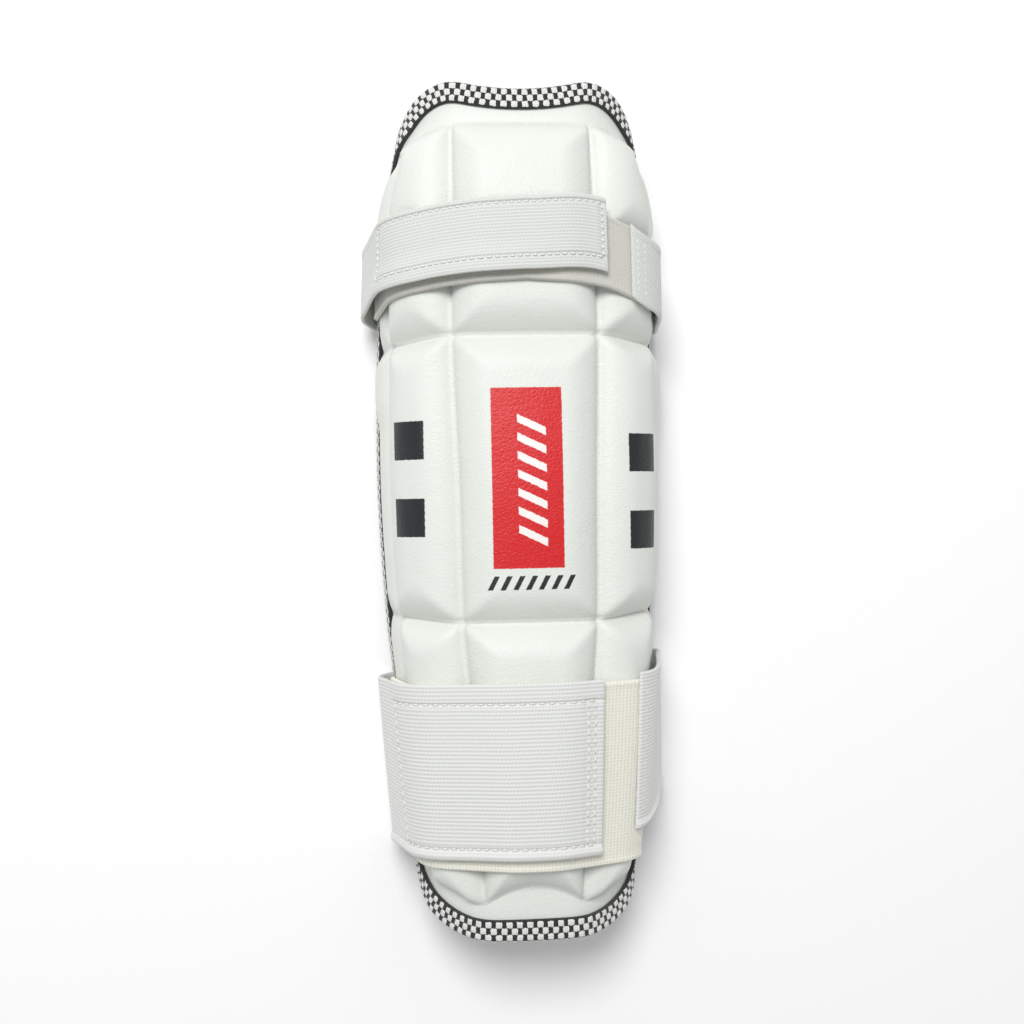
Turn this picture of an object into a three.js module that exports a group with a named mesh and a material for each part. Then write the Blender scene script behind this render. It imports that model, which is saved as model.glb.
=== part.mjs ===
// Cricket arm guard: a moulded foam face of raised pads, bound round its edge with knit tape, and
// held by two elastic straps that close with hook tape on loop tape.
// Millimetres and degrees, +Z up. The guard lies hollow side down; +Y is its elbow end and its origin
// is under its middle, on the surface that it lies on.
import * as THREE from "three";

// Driving dimensions of the moulded face. Widths are measured along the curved surface.
const guardLength = 286.5;
const centreHalf = 23.2;
const sideWidth = 30.3;
const wallWidth = 27;
const baseThickness = 3.5;
const padRise = 7;
const outerPadRise = 3;
const padCrown = 0.8;
const padShoulder = 12;
const elbowCorner = 37;
const wristCorner = 42;
const elbowDip = 2.2;

// How far the surface turns down, in degrees, at each bend of its section.
const centreFall = 5;
const sideFall = 41;
const wallFlare = 5;
const grooveBlend = 5;
const creaseBlend = 6;

// Flat lips between the pads and the binding at the ends, and how the grooves bend.
const elbowLip = 5.75;
const wristLip = 2.75;
const wristPadArc = 6.5;
const grooveDraw = 3;

// Knit binding folded over the edge.
const bindingWidth = 7.5;
const bindingThickness = 1.2;
const padSetback = 2;

// Straps, tapes and the running gap between touching pieces.
const clearance = 0.3;
const elasticThickness = 1.5;
const loopTapeThickness = 1.5;
const hookTapeThickness = 1;
const upperStrapWidth = 24;
const upperTapeWidth = 24;
const upperHookWidth = 22;
const upperHookLength = 62;
const upperStrapFromEnd = 67.75;
const upperStrapArch = 15;
const upperTapeShift = -2.7;
const upperLeftSlack = 3;
const upperRightSlack = 0.5;
const lowerStrapWidth = 58.5;
const lowerStrapNarrow = 48;
const lowerTapeWidth = 61.5;
const lowerHookWidth = 54;
const lowerHookLength = 56;
const lowerStrapFromEnd = 59.25;
const lowerLeftShift = -2;
const lowerRightShift = 9.7;
const lowerTapeShift = -3;
const lowerLeftSlack = 3;
const lowerRightSlack = 2.2;
const lowerRightSplay = 3.2;
const slackTurn = 9;
const upperSeamShare = 0.41;
const upperEndShare = 0.3;
const lowerSeamShare = 0.43;
const lowerEndShare = 0.265;
const tapeShare = 0.78;
const strapHem = 9;
const hookSetback = 3;
const tapeOverhang = 14;

// Section widths along the guard: shares of centreHalf, sideWidth, wallWidth and wallFlare, and
// how much of the wall's pads is left where the ends are cut away.
const sections = [
  { along: -1, centre: 0.69, side: 0.8, wall: 0.86, flare: 1.6, trim: 0.31 },
  { along: -0.84, centre: 0.73, side: 0.82, wall: 0.89, flare: 1.6, trim: 0.88 },
  { along: -0.6, centre: 0.82, side: 0.85, wall: 0.96, flare: 1.5, trim: 1 },
  { along: -0.39, centre: 0.9, side: 0.86, wall: 1, flare: 1.5, trim: 1 },
  { along: -0.26, centre: 0.96, side: 0.87, wall: 1, flare: 1.6, trim: 1 },
  { along: 0.06, centre: 0.99, side: 0.93, wall: 1, flare: 1.7, trim: 1 },
  { along: 0.41, centre: 1.05, side: 0.85, wall: 1, flare: 1.6, trim: 1 },
  { along: 0.7, centre: 1.01, side: 0.86, wall: 1, flare: 1.1, trim: 0.91 },
  { along: 0.87, centre: 1.02, side: 0.7, wall: 1, flare: 0.6, trim: 0.36 },
  { along: 1, centre: 1.03, side: 0.52, wall: 1, flare: 0.3, trim: 0.06 },
];

// Grooves between the rows of pads, as shares of half the guard's length.
const grooves = { elbow: 0.6422, upper: 0.4119, lower: -0.2513, wrist: -0.5585 };

// Where the middle lines of the upper strap and its loop tape run: share of the way from the front
// to the turn under the edge, and share of the strap's arch towards the elbow. The strap leaves its
// tape at a slant on the right.
const upperArchLine = [
  { along: 0, left: 1, right: 1, tapeRight: 1 },
  { along: 0.3, left: 0.9, right: 0.98, tapeRight: 0.86 },
  { along: 0.45, left: 0.78, right: 0.33, tapeRight: 0.58 },
  { along: 0.6, left: 0.64, right: 0.1, tapeRight: 0.22 },
  { along: 0.8, left: 0.42, right: 0.02, tapeRight: 0.04 },
  { along: 1, left: 0.18, right: 0, tapeRight: 0 },
  { along: 1.2, left: 0, right: 0, tapeRight: 0 },
];

// Lines of vertices across a pad's shoulder, as shares of its width.
const shoulderLines = [0, 0.25, 0.62];

const half = guardLength / 2;
const edgeInset = bindingThickness + clearance;
const rimWidth = bindingWidth - edgeInset + padSetback;
const fieldEnd = half - edgeInset - rimWidth;
const elbowPadEnd = fieldEnd - elbowLip;
const wristPadEnd = wristLip - fieldEnd;
const elbowGroove = grooves.elbow * half;
const upperGroove = grooves.upper * half;
const lowerGroove = grooves.lower * half;
const wristGroove = grooves.wrist * half;
const upperStrapPlace = half - upperStrapFromEnd;
const lowerStrapPlace = lowerStrapFromEnd - half;
const lowerStrapLeft = lowerStrapPlace + lowerLeftShift;
const lowerStrapRight = lowerStrapPlace + lowerRightShift;
const lowerTapePlace = lowerStrapPlace + lowerTapeShift;
const rad = THREE.MathUtils.degToRad;
const smooth = THREE.MathUtils.smoothstep;
const mix = THREE.MathUtils.lerp;

// Smooth curve through the rows of a table, flat past its ends.
function readTable(rows, at, column) {
  const last = rows.length - 1;
  if (at <= rows[0].along) return rows[0][column];
  if (at >= rows[last].along) return rows[last][column];
  const i = rows.findIndex((row) => row.along > at) - 1;
  const slope = (k) => {
    const before = rows[Math.max(k - 1, 0)];
    const after = rows[Math.min(k + 1, last)];
    return (after[column] - before[column]) / (after.along - before.along);
  };
  const span = rows[i + 1].along - rows[i].along;
  const t = (at - rows[i].along) / span;
  const bend = t * t * (3 - 2 * t);
  const lead = t * (1 - t) * (1 - t) * span * slope(i);
  const trail = t * t * (1 - t) * span * slope(i + 1);
  return mix(rows[i][column], rows[i + 1][column], bend) + lead - trail;
}

// Straight eases between the rows of a table, level at each row.
function easeTable(rows, at, column) {
  const after = rows.findIndex((row) => row.along > at);
  if (after === 0) return rows[0][column];
  if (after < 0) return rows[rows.length - 1][column];
  const before = rows[after - 1];
  return mix(before[column], rows[after][column], smooth(at, before.along, rows[after].along));
}

// The half section of the face at a place along it: widths of its columns, and its bends as the
// distance from the middle and the heading there.
function sectionAt(place) {
  const along = place / half;
  const centre = centreHalf * readTable(sections, along, "centre");
  const side = sideWidth * readTable(sections, along, "side");
  const wall = wallWidth * readTable(sections, along, "wall");
  const trim = Math.min(readTable(sections, along, "trim"), 1);
  const heading = rad(90 - wallFlare * readTable(sections, along, "flare"));
  const bends = [
    { reach: 0, heading: 0 },
    { reach: centre - grooveBlend, heading: rad(centreFall) },
    { reach: centre + grooveBlend, heading: rad(sideFall - centreFall) },
    { reach: centre + side - creaseBlend, heading: rad(sideFall + centreFall) },
    { reach: centre + side + creaseBlend, heading },
    { reach: centre + side + wall, heading },
  ];
  const crease = centre + side;
  const field = crease + (wall - rimWidth) * trim;
  const section = { centre, crease, field, full: crease + wall, heading, bends };
  const bindingDrop =
    edgeInset * Math.sin(heading) + (baseThickness + clearance) * Math.cos(heading);
  const strapDrop = elasticThickness + clearance;
  section.top = walk(section, section.full).drop + bindingDrop + strapDrop;
  return section;
}

// The point of the section that lies a distance along it from the middle, and the heading there.
function walk(section, distance) {
  let across = 0;
  let drop = 0;
  let { heading } = section.bends[0];
  for (let i = 1; i < section.bends.length; i += 1) {
    const from = section.bends[i - 1];
    const to = section.bends[i];
    const length = Math.min(distance, to.reach) - from.reach;
    if (length <= 0) break;
    const turn = (to.heading - from.heading) / (to.reach - from.reach);
    heading = from.heading + turn * length;
    if (Math.abs(turn) < 1e-9) {
      across += length * Math.cos(heading);
      drop += length * Math.sin(heading);
    } else {
      across += (Math.sin(heading) - Math.sin(from.heading)) / turn;
      drop += (Math.cos(from.heading) - Math.cos(heading)) / turn;
    }
  }
  const past = Math.max(distance - section.full, 0);
  return {
    across: across + past * Math.cos(heading),
    drop: drop + past * Math.sin(heading),
    heading,
  };
}

// A point of the guard from the flat pattern: distance across, place along, and height off the
// bottom of the grooves.
function onGuard(across, place, height) {
  const section = sectionAt(place);
  const at = walk(section, Math.abs(across));
  const x = at.across + height * Math.sin(at.heading);
  const z = section.top - at.drop + height * Math.cos(at.heading);
  return new THREE.Vector3(across < 0 ? -x : x, place, z);
}

// Places of the lines of vertices over one pad, from its first edge up to but not its last.
function padLines(first, last, middles) {
  const shoulder = Math.min(padShoulder, (last - first) / 2.2);
  const lines = shoulderLines.map((share) => first + share * shoulder);
  for (let i = 0; i < middles; i += 1) {
    const inner = [first + shoulder, last - shoulder];
    lines.push(middles === 1 ? (first + last) / 2 : mix(...inner, i / (middles - 1)));
  }
  const back = shoulderLines.slice(1).reverse();
  return lines.concat(back.map((share) => last - share * shoulder));
}

// Lines of vertices across the pads, from the middle to the rim.
function columnLines(section) {
  const outerPadEnd = section.full - rimWidth;
  const centreLines = padLines(-section.centre, section.centre, 1).filter((x) => x > -1e-6);
  return [
    ...centreLines,
    ...padLines(section.centre, section.crease, 1),
    ...padLines(section.crease, outerPadEnd, 1),
    outerPadEnd,
  ];
}

// Lines of vertices along the pads, from the wrist rim to the elbow rim.
const rowEdges = [wristPadEnd, wristGroove, lowerGroove, upperGroove, elbowGroove, elbowPadEnd];
const rowLines = [
  -fieldEnd,
  ...rowEdges.slice(1).flatMap((end, i) => {
    const long = end - rowEdges[i] > 5 * padShoulder;
    return padLines(rowEdges[i], end, long ? 3 : 1);
  }),
  elbowPadEnd,
  fieldEnd,
];

// How much of its full height a pad has at a distance from its own edge.
function shoulderShape(distance) {
  const t = Math.min(Math.max(distance / padShoulder, 0), 1);
  return Math.sqrt(1 - (1 - t) * (1 - t));
}

// The nearest of some edges: how far away it is, and the gap between edges that holds the place.
function betweenEdges(place, edges) {
  const next = edges.findIndex((edge) => edge > place);
  if (next <= 0) return { distance: 0, column: -1 };
  return {
    distance: Math.min(place - edges[next - 1], edges[next] - place),
    column: next - 1,
  };
}

// Height of the pads across one section, as if no groove crossed them.
function padHeight(section, across, limit) {
  const outerPadEnd = section.full - rimWidth;
  const edges = [-section.centre, section.centre, section.crease, outerPadEnd];
  const { distance, column } = betweenEdges(Math.abs(across), edges);
  if (column < 0) return 0;
  const near = Math.min(distance, limit);
  const rise = column === 2 ? outerPadRise : padRise;
  const crown = column === 2 ? 0 : padCrown;
  return rise * shoulderShape(near) + crown * shoulderShape(near / 2);
}

// A line across the pads, drawn in towards the middle at the sides as the grooves are.
function drawnPlace(place, across, section) {
  const inCentre = Math.max(1 - (across / section.centre) ** 2, 0);
  const dip = elbowDip * inCentre * smooth(place, elbowPadEnd, fieldEnd);
  if (Math.abs(place) === fieldEnd) return place - dip;
  const sideways = smooth(Math.abs(across), section.centre, section.crease);
  const draw = (grooveDraw / upperGroove) * sideways * (1 - Math.abs(place) / half);
  const arc = wristPadArc * inCentre * smooth(-place, -wristGroove, -wristPadEnd);
  return place * (1 - draw) + arc - dip;
}

// Rounds the corners of the flat pattern: a square corner becomes a quarter of a circle.
function roundCorner(across, place, edge, end, radius) {
  const x = (Math.abs(across) - (edge - radius)) / radius;
  const y = (Math.abs(place) - (end - radius)) / radius;
  if (x <= 0 || y <= 0) return new THREE.Vector2(across, place);
  const newX = edge - radius + radius * x * Math.sqrt(1 - (y * y) / 2);
  const newY = end - radius + radius * y * Math.sqrt(1 - (x * x) / 2);
  return new THREE.Vector2(Math.sign(across) * newX, Math.sign(place) * newY);
}

// A vertex of the pads' grid: its lines across and along, and its point on the flat pattern, where
// the wall's pads are pressed in at the ends and the corners are rounded.
function fieldAt(row, column) {
  const place = rowLines[row];
  const section = sectionAt(place);
  const lines = columnLines(section);
  const line = column - (lines.length - 1);
  const across = Math.sign(line) * lines[Math.abs(line)];
  const { crease, field, full } = section;
  const past = Math.max(Math.abs(across) - crease, 0) / (full - rimWidth - crease);
  const pressed = Math.min(Math.abs(across), crease) + past * (field - crease);
  const radius = (place > 0 ? elbowCorner : wristCorner) - rimWidth;
  const drawn = drawnPlace(place, across, section);
  const at = roundCorner(Math.sign(across) * pressed, drawn, field, fieldEnd, radius);
  return { place, section, across, at };
}

const fieldRows = rowLines.length;
const fieldColumns = 2 * columnLines(sectionAt(0)).length - 1;

// The vertices round the border of the pads' grid, anticlockwise from a wrist corner.
const border = [];
for (let column = 0; column < fieldColumns - 1; column += 1) border.push({ row: 0, column });
for (let row = 0; row < fieldRows - 1; row += 1) border.push({ row, column: fieldColumns - 1 });
for (let column = fieldColumns - 1; column > 0; column -= 1) border.push({ row: fieldRows - 1, column });
for (let row = fieldRows - 1; row > 0; row -= 1) border.push({ row, column: 0 });
const borderPoints = border.map(({ row, column }) => fieldAt(row, column).at);

// The way out from the pads at each vertex of their border.
const borderOutward = borderPoints.map((point, i) => {
  const before = borderPoints[(i + borderPoints.length - 1) % borderPoints.length];
  const after = borderPoints[(i + 1) % borderPoints.length];
  return new THREE.Vector2(after.y - before.y, before.x - after.x).normalize();
});

// A point of the rim: how far it lies out from the pads and off the bottom of the grooves.
function onRim(step, out, height) {
  const at = borderPoints[step].clone().addScaledVector(borderOutward[step], out);
  return onGuard(at.x, at.y, height);
}

// Distance of a point of the flat pattern from the border of the pads.
function insideBorder(point) {
  const nearest = new THREE.Vector3();
  const at = new THREE.Vector3(point.x, point.y, 0);
  const run = new THREE.Line3();
  return borderPoints.reduce((least, corner, i) => {
    const after = borderPoints[(i + 1) % borderPoints.length];
    run.start.set(corner.x, corner.y, 0);
    run.end.set(after.x, after.y, 0);
    return Math.min(least, run.closestPointToPoint(at, true, nearest).distanceTo(at));
  }, Infinity);
}

// A mesh from vertices and triangles.
function meshGeometry(points, triangles) {
  const geometry = new THREE.BufferGeometry();
  geometry.setFromPoints(points);
  geometry.setIndex(triangles);
  geometry.computeVertexNormals();
  return geometry;
}

// The two faces of a wall over a grid of rows and columns, mirrored about its middle column;
// point(row, column, over) gives its vertices.
function wallFaces(rows, columns, point) {
  const points = [];
  const triangles = [];
  const at = (row, column, over) => (row * columns + column) * 2 + over;
  const quad = (a, b, c, d) => triangles.push(a, b, c, a, c, d);
  for (let row = 0; row < rows; row += 1) {
    for (let column = 0; column < columns; column += 1) {
      points.push(point(row, column, 0), point(row, column, 1));
      if (row + 1 === rows || column + 1 === columns) continue;
      const corners = [[row, column], [row, column + 1], [row + 1, column + 1], [row + 1, column]];
      if (column < (columns - 1) / 2) corners.push(corners.shift());
      quad(...corners.map(([r, c]) => at(r, c, 1)));
      quad(...corners.reverse().map(([r, c]) => at(r, c, 0)));
    }
  }
  return { points, triangles, at, quad };
}

// A closed wall over a grid of rows and columns.
function wallGeometry(rows, columns, point) {
  const { points, triangles, at, quad } = wallFaces(rows, columns, point);
  for (let row = 0; row + 1 < rows; row += 1) {
    const end = columns - 1;
    quad(at(row, 0, 0), at(row, 0, 1), at(row + 1, 0, 1), at(row + 1, 0, 0));
    quad(at(row, end, 1), at(row, end, 0), at(row + 1, end, 0), at(row + 1, end, 1));
  }
  for (let column = 0; column + 1 < columns; column += 1) {
    const end = rows - 1;
    quad(at(0, column, 1), at(0, column, 0), at(0, column + 1, 0), at(0, column + 1, 1));
    quad(at(end, column, 0), at(end, column, 1), at(end, column + 1, 1), at(end, column + 1, 0));
  }
  return meshGeometry(points, triangles);
}

// A closed ring of sections; point(step, corner) gives its surface.
function ringGeometry(steps, corners, point) {
  const points = [];
  const triangles = [];
  const at = (step, corner) => (step % steps) * corners + (corner % corners);
  for (let step = 0; step < steps; step += 1) {
    for (let corner = 0; corner < corners; corner += 1) {
      points.push(point(step, corner));
      const [a, b] = [at(step, corner), at(step, corner + 1)];
      const [c, d] = [at(step + 1, corner + 1), at(step + 1, corner)];
      triangles.push(a, b, d, b, c, d);
    }
  }
  return meshGeometry(points, triangles);
}

// The moulded face: pads over, smooth under, and a flat rim that the binding covers.
function mouldedFace() {
  const faces = wallFaces(fieldRows, fieldColumns, (row, column, over) => {
    const { place, section, across, at } = fieldAt(row, column);
    const limit = Math.min(betweenEdges(place, rowEdges).distance, insideBorder(at));
    return onGuard(at.x, at.y, over ? padHeight(section, across, limit) : -baseThickness);
  });
  const { points, triangles, at, quad } = faces;
  const rimStart = points.length;
  border.forEach((_, step) => {
    points.push(onRim(step, padSetback, 0), onRim(step, rimWidth, 0));
    points.push(onRim(step, rimWidth, -baseThickness), onRim(step, padSetback, -baseThickness));
  });
  const across = border.map(({ row, column }, step) => {
    const first = rimStart + 4 * step;
    return [at(row, column, 1), first, first + 1, first + 2, first + 3, at(row, column, 0)];
  });
  across.forEach((here, step) => {
    const next = across[(step + 1) % across.length];
    for (let k = 0; k + 1 < here.length; k += 1) quad(here[k], here[k + 1], next[k + 1], next[k]);
  });
  return meshGeometry(points, triangles);
}

// The binding: one tape folded over the edge all the way round.
function edgeBinding() {
  const over = clearance;
  const under = -baseThickness - clearance;
  const fold = bindingThickness / 2;
  const profile = [
    { out: padSetback, height: over },
    { out: padSetback, height: over + bindingThickness },
    { out: rimWidth + edgeInset - fold, height: over + bindingThickness },
    { out: rimWidth + edgeInset, height: over },
    { out: rimWidth + edgeInset, height: under },
    { out: rimWidth + edgeInset - fold, height: under - bindingThickness },
    { out: padSetback, height: under - bindingThickness },
    { out: padSetback, height: under },
    { out: rimWidth + clearance, height: under },
    { out: rimWidth + clearance, height: over },
  ];
  return ringGeometry(border.length, profile.length, (step, corner) => {
    return onRim(step, profile[corner].out, profile[corner].height);
  });
}

// The line that a band takes round half of the guard at one place: from the middle of the front,
// over the pads, round the bound edge and in along the surface that the guard lies on. With slack,
// it stands that far out from the edge in a round turn.
function bandLine(place, slack) {
  const section = sectionAt(place);
  const touched = [];
  const touch = (across, height) => {
    const at = onGuard(across, place, height);
    touched.push({ x: at.x, z: at.z });
  };
  const samples = 40;
  for (let i = 0; i <= samples; i += 1) {
    const across = (section.full * i) / samples;
    touch(across, padHeight(section, across, padShoulder * 2));
  }
  const over = clearance + bindingThickness;
  touch(section.full - bindingWidth + edgeInset, over);
  touch(section.full + clearance + bindingThickness / 2, over);
  touch(section.full + edgeInset, clearance);
  touch(section.full + edgeInset, -baseThickness - clearance);
  touch(section.full + clearance + bindingThickness / 2, -baseThickness - over);
  const widest = Math.max(...touched.map((at) => at.x));
  const lowest = Math.min(...touched.map((at) => at.z));
  for (let angle = 0; slack > 0 && angle <= 180; angle += 15) {
    touched.push({
      x: widest + slack - slackTurn + slackTurn * Math.sin(rad(angle)),
      z: lowest + slackTurn + slackTurn * Math.cos(rad(angle)),
    });
  }
  const highest = Math.max(...touched.map((at) => at.z));
  const corners = [{ x: 0, z: highest, heading: 0 }];
  for (let heading = 0; heading < Math.PI - 1e-4; ) {
    const from = corners[corners.length - 1];
    let next = null;
    for (const at of touched) {
      const length = Math.hypot(at.x - from.x, at.z - from.z);
      const bearing = Math.atan2(from.z - at.z, at.x - from.x);
      const turned = bearing < -1e-4 ? bearing + 2 * Math.PI : bearing;
      const ahead = length > 1e-3 && turned > heading - 1e-4;
      const nearer = !next || turned < next.heading - 1e-6;
      if (ahead && nearer && turned < Math.PI - 1e-4) next = { ...at, heading: turned };
    }
    if (!next) break;
    heading = next.heading;
    corners.push(next);
  }
  const line = [];
  let length = 0;
  const add = (x, z, heading, step) => {
    length += step;
    line.push({ x, z, heading, length });
  };
  corners.forEach((corner, i) => {
    const last = i === corners.length - 1;
    const leaving = last ? Math.PI : corners[i + 1].heading;
    const turn = leaving - corner.heading;
    const parts = Math.max(Math.ceil(turn / rad(15)), 1);
    const before = corners[i - 1] ?? corner;
    add(corner.x, corner.z, corner.heading, Math.hypot(corner.x - before.x, corner.z - before.z));
    for (let k = 1; k <= parts; k += 1) {
      const heading = corner.heading + (turn * k) / parts;
      add(corner.x, corner.z, heading, (elasticThickness * turn) / parts);
    }
  });
  const floor = corners[corners.length - 1];
  add(0, floor.z, Math.PI, floor.x);
  return line;
}

// Share of a band's line at which it turns under the edge of the guard.
function turnShare(line) {
  const total = line[line.length - 1].length;
  return line.find((at) => at.heading > rad(135)).length / total;
}

// A point of a band's line: share of it from the front, signed by side, and distance off it.
function onLine(line, place, share, lift) {
  const length = Math.min(Math.abs(share), 1) * line[line.length - 1].length;
  const next = Math.max(line.findIndex((at) => at.length >= length), 1);
  const [from, to] = [line[next - 1], line[next]];
  const t = to.length > from.length ? (length - from.length) / (to.length - from.length) : 1;
  const heading = mix(from.heading, to.heading, t);
  const x = mix(from.x, to.x, t) + lift * Math.sin(heading);
  const z = mix(from.z, to.z, t) + lift * Math.cos(heading);
  return new THREE.Vector3(share < 0 ? -x : x, place, z);
}

// A stop along a band is a share of its line on the right half, and past 1 is on the left half.
function sideShare(stop) {
  return stop > 1 ? stop - 2 : stop;
}

// Stops along a band, closer where it turns.
function bandStops({ middle, slack, from, to, count }) {
  const fine = 600;
  const turning = 14;
  const lines = {
    right: bandLine(middle, slack.right(middle)),
    left: bandLine(middle, slack.left(middle)),
  };
  const at = (stop, lift) => {
    const share = sideShare(stop);
    return onLine(share < 0 ? lines.left : lines.right, middle, share, lift);
  };
  const stopAt = (i) => mix(from, to, i / fine);
  const pace = [0];
  for (let i = 1; i <= fine; i += 1) {
    const [before, after] = [stopAt(i - 1), stopAt(i)];
    const inner = at(before, 0).distanceTo(at(after, 0));
    const outer = at(before, turning).distanceTo(at(after, turning));
    pace.push(pace[i - 1] + inner + outer);
  }
  return Array.from({ length: count + 1 }, (_, k) => {
    const wanted = (pace[fine] * k) / count;
    const i = Math.max(pace.findIndex((length) => length >= wanted - 1e-9), 1);
    const t = (wanted - pace[i - 1]) / (pace[i] - pace[i - 1]);
    return mix(stopAt(i - 1), stopAt(i), t);
  });
}

// A band round the guard. place, width and lift give, at each stop, its middle line, its width and
// the distance of its underside from the line that it follows.
function bandGeometry({ middle, slack, from, to, count, parts, thickness, place, width, lift }) {
  const stops = bandStops({ middle, slack, from, to, count });
  return wallGeometry(stops.length, parts + 1, (row, column, over) => {
    const stop = stops[row];
    const at = place(stop) + width(stop) * (0.5 - column / parts);
    const share = sideShare(stop);
    const line = bandLine(at, share < 0 ? slack.left(at) : slack.right(at));
    return onLine(line, at, share, lift(stop) + (over ? thickness : 0));
  });
}

// Heights of the stacked layers over the taut line.
const onFace = clearance;
const onTape = onFace + loopTapeThickness + clearance;
const onHook = onTape + hookTapeThickness + clearance;

// A strap's length round half of the guard, the share of it at the turn under the edge, and the
// shares of the way to that turn where its elastic is sewn to its loop tape, where its fastened
// end lies, and where the tape ends at the left.
function strapRun(place, seam, end, hookLength) {
  const line = bandLine(place, 0);
  const reach = line[line.length - 1].length;
  const turn = turnShare(line);
  const hookEnd = end * turn - hookSetback / reach;
  return {
    reach,
    turn,
    seam: seam * turn,
    end: end * turn,
    tape: tapeShare * turn,
    hookEnd,
    hookStart: hookEnd - hookLength / reach,
  };
}

const upperRun = strapRun(upperStrapPlace, upperSeamShare, upperEndShare, upperHookLength);
const lowerRun = strapRun(lowerStrapPlace, lowerSeamShare, lowerEndShare, lowerHookLength);

// Underside of a strap along its whole run: sewn on the tape at the right, flat underneath, and
// over the hook tape at the front.
function strapLift(stop, { reach, turn, seam, tape, hookStart }) {
  const tapeEnd = seam + tapeOverhang / reach;
  const rows = [
    { along: tapeEnd, lift: onTape },
    { along: mix(tapeEnd, turn, 0.6), lift: onFace },
    { along: 2 - 0.95 * turn, lift: onFace },
    { along: 2 - tape - 0.04 * turn, lift: onTape },
    { along: 2 + hookStart - hookSetback / reach, lift: onHook },
  ];
  return easeTable(rows, stop, "lift");
}

// Middle line of the upper strap or its tape, arched towards the elbow over the front.
function upperPlace(stop, right) {
  const share = Math.abs(sideShare(stop)) / upperRun.turn;
  const side = sideShare(stop) < 0 ? "left" : right;
  return upperStrapPlace + upperStrapArch * readTable(upperArchLine, share, side);
}

// How far the lower elastic has drawn up and narrowed on its way to the right.
function lowerDraw(stop) {
  const { turn } = lowerRun;
  const rows = [
    { along: lowerRun.seam, drawn: 0.5 },
    { along: turn * 0.9, drawn: 1 },
    { along: 1, drawn: 0.9 },
    { along: 2 - turn, drawn: 0 },
  ];
  return easeTable(rows, stop, "drawn");
}

function lowerPlace(stop) {
  const front = mix(lowerStrapLeft, lowerStrapPlace, smooth(stop, 2 - lowerRun.turn, 2));
  return mix(stop > 1 ? front : lowerStrapLeft, lowerStrapRight, lowerDraw(stop));
}

// How far the lower elastic stands out at the right: more towards the wrist, where the guard is
// narrower.
function lowerRightStand(place) {
  const share = (lowerStrapRight - place) / lowerStrapNarrow + 0.5;
  return lowerRightSlack + lowerRightSplay * Math.max(share, 0);
}

function lowerWidth(stop) {
  return mix(lowerStrapWidth, lowerStrapNarrow, lowerDraw(stop));
}

const face = new THREE.MeshStandardMaterial({ color: 0xeef1ee, roughness: 0.55, metalness: 0 });
const knit = new THREE.MeshStandardMaterial({ color: 0x8c8f92, roughness: 0.9, metalness: 0 });
const elastic = new THREE.MeshStandardMaterial({ color: 0xe1e2de, roughness: 0.85, metalness: 0 });
const loopPile = new THREE.MeshStandardMaterial({ color: 0xe2e0cd, roughness: 1, metalness: 0 });
const hooks = new THREE.MeshStandardMaterial({ color: 0xdedac2, roughness: 0.7, metalness: 0 });

const guard = new THREE.Group();

function addPiece(name, geometry, material) {
  const piece = new THREE.Mesh(geometry, material);
  piece.name = name;
  guard.add(piece);
}

addPiece("moulded_face", mouldedFace(), face);
addPiece("edge_binding", edgeBinding(), knit);

// The elastic of a strap, from its seam at the right round underneath to its end at the front.
function strapGeometry(run, band) {
  return bandGeometry({
    ...band,
    from: run.seam,
    to: 2 + run.end,
    count: 60,
    thickness: elasticThickness,
    lift: (stop) => strapLift(stop, run),
  });
}

// The loop tape that lies on the face under a strap.
function loopTapeGeometry(run, band) {
  return bandGeometry({
    ...band,
    slack: { left: () => 0, right: () => 0 },
    from: -run.tape,
    to: run.seam + strapHem / run.reach,
    count: 24,
    thickness: loopTapeThickness,
    lift: () => onFace,
  });
}

// The hook tape sewn under a strap's fastened end.
function hookTapeGeometry(run, band) {
  return bandGeometry({
    ...band,
    slack: { left: () => 0, right: () => 0 },
    from: run.hookStart,
    to: run.hookEnd,
    count: 12,
    thickness: hookTapeThickness,
    lift: () => onTape,
  });
}

const upperBand = { middle: upperStrapPlace, parts: 2 };
const lowerBand = { middle: lowerStrapPlace, parts: 3 };

addPiece(
  "upper_strap",
  strapGeometry(upperRun, {
    ...upperBand,
    slack: { left: () => upperLeftSlack, right: () => upperRightSlack },
    place: (stop) => upperPlace(stop, "right"),
    width: () => upperStrapWidth,
  }),
  elastic,
);
addPiece(
  "upper_hook_tape",
  hookTapeGeometry(upperRun, {
    ...upperBand,
    place: (stop) => upperPlace(stop, "right"),
    width: () => upperHookWidth,
  }),
  hooks,
);
addPiece(
  "upper_loop_tape",
  loopTapeGeometry(upperRun, {
    ...upperBand,
    place: (stop) => upperPlace(stop, "tapeRight") + upperTapeShift,
    width: () => upperTapeWidth,
  }),
  loopPile,
);
addPiece(
  "lower_strap",
  strapGeometry(lowerRun, {
    ...lowerBand,
    slack: { left: () => lowerLeftSlack, right: lowerRightStand },
    place: lowerPlace,
    width: lowerWidth,
  }),
  elastic,
);
addPiece(
  "lower_hook_tape",
  hookTapeGeometry(lowerRun, {
    ...lowerBand,
    place: () => lowerStrapPlace,
    width: () => lowerHookWidth,
  }),
  hooks,
);
addPiece(
  "lower_loop_tape",
  loopTapeGeometry(lowerRun, {
    ...lowerBand,
    place: () => lowerTapePlace,
    width: () => lowerTapeWidth,
  }),
  loopPile,
);

// The origin is brought under the middle of the whole.
const middle = new THREE.Box3().setFromObject(guard).getCenter(new THREE.Vector3());
guard.children.forEach((piece) => piece.position.set(-middle.x, -middle.y, 0));

export default guard;
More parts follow.
